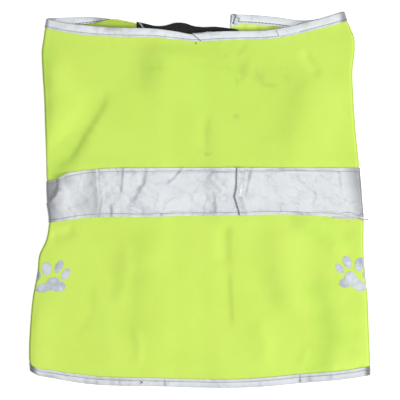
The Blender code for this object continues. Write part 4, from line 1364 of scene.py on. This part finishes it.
# Where the left wing's edge curls under, with its radius at shares of its length
CURL = ((-109, 182.6), (-100, 185.4), (-93.5, 186.9), (-88, 187.0), (-81, 185.9), (-74.8, 184.6),
        (-69.5, 183.7), (-66.4, 183.0))
CURL_STEPS = 60
curl_radius = np.interp(np.linspace(0, 1, CURL_STEPS), (0, 0.2, 0.5, 0.9, 1), (0.2, 0.8, 1.0, 0.8, 0.5))
curl = thread("wing_curl", laid_path(neck_ground, CURL, CURL_STEPS, 0.35), curl_radius, cloth_finish, 12)

# The folded end of the right wing's binding: a flap, a rolled edge and a scrap of cloth below
end_flap = flap("binding_end_flap", ((33.4, 180.2), (39.6, 180.4), (40.4, 192.4), (36.0, 193.0)), neck_ground,
                neck_finish, 0.5, 0.35)
end_roll = flap("binding_end_roll", ((31.2, 180.6), (33.9, 180.2), (35.6, 192.6), (33.6, 193.4)), neck_ground,
                neck_finish, 0.9, 0.6)
end_scrap = flap("yellow_scrap", ((31.4, 178.6), (38.4, 178.2), (38.6, 181.0), (31.8, 181.4)), neck_ground,
                 cloth_finish, 0.4, 0.3, ragged=0.5)
# The joint in the front neck binding, whose upper layer thins out to the right
joint = flap("neck_joint", ((82.4, 169.9), (104, 174.4), (101, 181.3), (79.0, 176.6)), neck_ground,
             neck_finish, 0.42, 0.05, wedge=0.06, size=(30, 12))
tack_left = bar_tack("bar_tack_left", (-63.4, 185.0), (-58.6, 178.0), 12, 0.95, neck_ground, pale_thread)

# The band's torn backing at the right of its lower edge, with frayed threads
torn = flap("torn_backing", ((138.0, -19.6), (171.5, -20.5), (171.2, -18.4), (138.0, -17.6)), band_ground,
            scrim_finish, 0.22, 0.12, ragged=0.22, size=(60, 8))
frays = [
    thread(f"fray_{i + 1}", laid_path(band_ground, path, count, above), radius, look)
    for i, (path, count, above, radius, look) in enumerate((
        (((164, -19.6), (169, -20.4), (172.4, -20.6), (175.6, -21.0)), 16, 0.35, 0.4, fray_finish),
        (((167, -21.4), (169.6, -22.2), (172.0, -21.9)), 12, 0.2, 0.13, fray_finish),
        (((150, -20.8), (153, -22.6), (156.4, -22.0)), 12, 0.15, 0.12, scrim_finish),
    ))
]

# Thin dark threads: painted shade along cut edges, laps and creases where shadows fall, and a dark stitch
# line on the folded end: a path, its height over what is below, and a radius
SHADE_AND_EDGE_LINES = table(
    "name path above radius",
    ("lap_edge", ((-7.9, 172.2), (-4.6, 169.4), (-1.0, 166.6), (1.2, 164.6)), 0.1, 0.36),
    ("joint_edge", ((79.0, 176.2), (80.4, 173.2), (82.3, 170.1)), 0.05, 0.22),
    ("end_slit", ((34.4, 193.0), (36.8, 192.0), (37.2, 190.4), (36.5, 188.8), (35.8, 186.6), (35.1, 184.6),
                  (34.2, 183.2)), 1.05, 0.66),
    ("end_tail", ((33.3, 183.9), (34.6, 183.3), (36.0, 182.8)), 1.5, 0.36),
    ("end_spur", ((37.8, 189.2), (39.8, 188.7), (41.6, 188.6)), 1.0, 0.36),
    ("end_hook", ((40.9, 187.4), (40.5, 186.4), (40.1, 185.2)), 0.9, 0.36),
    ("wing_edge", ((-131, 182.4), (-120.6, 182.3), (-114.4, 183.3), (-108, 184.8), (-99.8, 186.8)),
     0.0, 0.28),
    ("end_rim", ((31.5, 180.6), (32.0, 185.9), (32.6, 190.4), (34.4, 193.1)), 0.0, 0.34),
    ("neck_rim", [(x, float(neck_high(x)) - 0.25) for x in (100, 111, 126, 142, 151)], -0.1, 0.3),
)
shade_and_edge_lines = [thread(edge.name, laid_path(neck_ground, edge.path, 30, edge.above), edge.radius, shade_and_edge_line)
         for edge in SHADE_AND_EDGE_LINES]
# Painted shade: dark lines in the creases at the hem tape's joints
hem_joints = []
for x, radius in ((-84.0, 0.15), (-36.6, 0.17), (104.2, 0.2)):
    ends = (x, float(hem_low(x)) + 0.7), (x - 0.5, float(hem_high(x)) - 0.3)
    path = laid_path(hem_ground, ends, 12, 0.0)
    hem_joints.append(thread(f"hem_joint_{len(hem_joints) + 1}", path, radius, shade_and_edge_line))

# A knotted thread end on the hem, and a snipped one below the lap of the neck
KNOT = ((-62.2, -188.3), (-61.3, -190.2), (-59.3, -190.5), (-60.4, -188.9), (-61.1, -190.9),
        (-62.8, -192.0))
SNIP = ((-4.6, 163.4), (-3.9, 162.5), (-4.4, 161.9))
knot = thread("hem_knot", laid_path(hem_ground, KNOT, 60, 0.2), 0.19, dark_thread)
snip = thread("neck_snip", laid_path(neck_ground, SNIP, 10, 0.2), 0.34, dark_thread)

# The node that each main piece stands for, whose CAD part is hidden, and the pieces listed under slot names,
# each attached to the root
NODES = {"coat_cloth": cloth, "reflective_band": band, "hem_binding": hem, "neck_binding_left": neck_left,
         "neck_binding_right": neck_right, "belly_panel": belly}
for node, piece in NODES.items():
    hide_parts(node)
SLOTS = {
    "yellow_cloth": (cloth, curl, end_scrap),
    "reflective_tape": (band, band_stitches, *paws, torn, *frays),
    "binding_tape": (hem, neck_left, neck_right, hem_stitches, neck_stitches, inner_stitches, end_flap,
                     end_roll, joint, knot, snip, *shade_and_edge_lines, *hem_joints),
    "black_stretch": (belly, tack_left),
}
for slot, members in SLOTS.items():
    for piece in members:
        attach(piece, "root")


# The floor, the light and the camera, in metres

FLOOR_REACH = 12.0
FLOOR_Z = -0.00012
FLOOR_GLOW = 0.4
WORLD_LIGHT = 0.36
WHITE = (1.0, 1.0, 1.0, 1.0)
CAMERA_PLACE = (0.0003, -0.0003, 2.0)
CAMERA_LENS = 172.74
CAMERA_SENSOR = 36.0


def link(name, data, place):
    made = bpy.data.objects.new(name, data)
    made.location = place
    bpy.context.scene.collection.objects.link(made)
    return made


def studio_floor():
    paper = Look("Studio paper", 0.95, specular=0.1)
    shade = paper.tinted(paper.lumps(paper.place, 300), (0.93, 0.93, 0.93), (0.95, 0.95, 0.95))
    paper.shader["Emission Color"].default_value = WHITE
    paper.shader["Emission Strength"].default_value = FLOOR_GLOW
    mesh = bpy.data.meshes.new("floor")
    corners = [(x * FLOOR_REACH, y * FLOOR_REACH, FLOOR_Z) for x, y in ((-1, -1), (1, -1), (1, 1), (-1, 1))]
    mesh.from_pydata(corners, [], [(0, 1, 2, 3)])
    mesh.materials.append(paper.finish(base_color=shade))
    link("floor", mesh, (0, 0, 0))


def softbox(name, place, size, watts):
    """A square soft light that looks at the coat."""
    data = bpy.data.lights.new(name, "AREA")
    data.shape = "SQUARE"
    data.size = size
    data.energy = watts
    link(name, data, place).rotation_euler = (-Vector(place)).to_track_quat("-Z", "Y").to_euler()


studio_floor()
softbox("key", (2.95, -1.15, 1.65), 1.1, 107)
softbox("top", (0.1, 0.0, 2.5), 1.4, 22)

world = bpy.data.worlds.new("Studio")
world.use_nodes = True
background = world.node_tree.nodes["Background"].inputs
background["Color"].default_value = WHITE
background["Strength"].default_value = WORLD_LIGHT

scene = bpy.context.scene
scene.world = world
scene.view_settings.view_transform = "Standard"
scene.view_settings.look = "None"
camera_data = bpy.data.cameras.new("photo")
camera_data.sensor_width = CAMERA_SENSOR
camera_data.lens = CAMERA_LENS
camera_data.clip_start = 0.1
camera_data.clip_end = 20.0
scene.camera = link("photo", camera_data, CAMERA_PLACE)
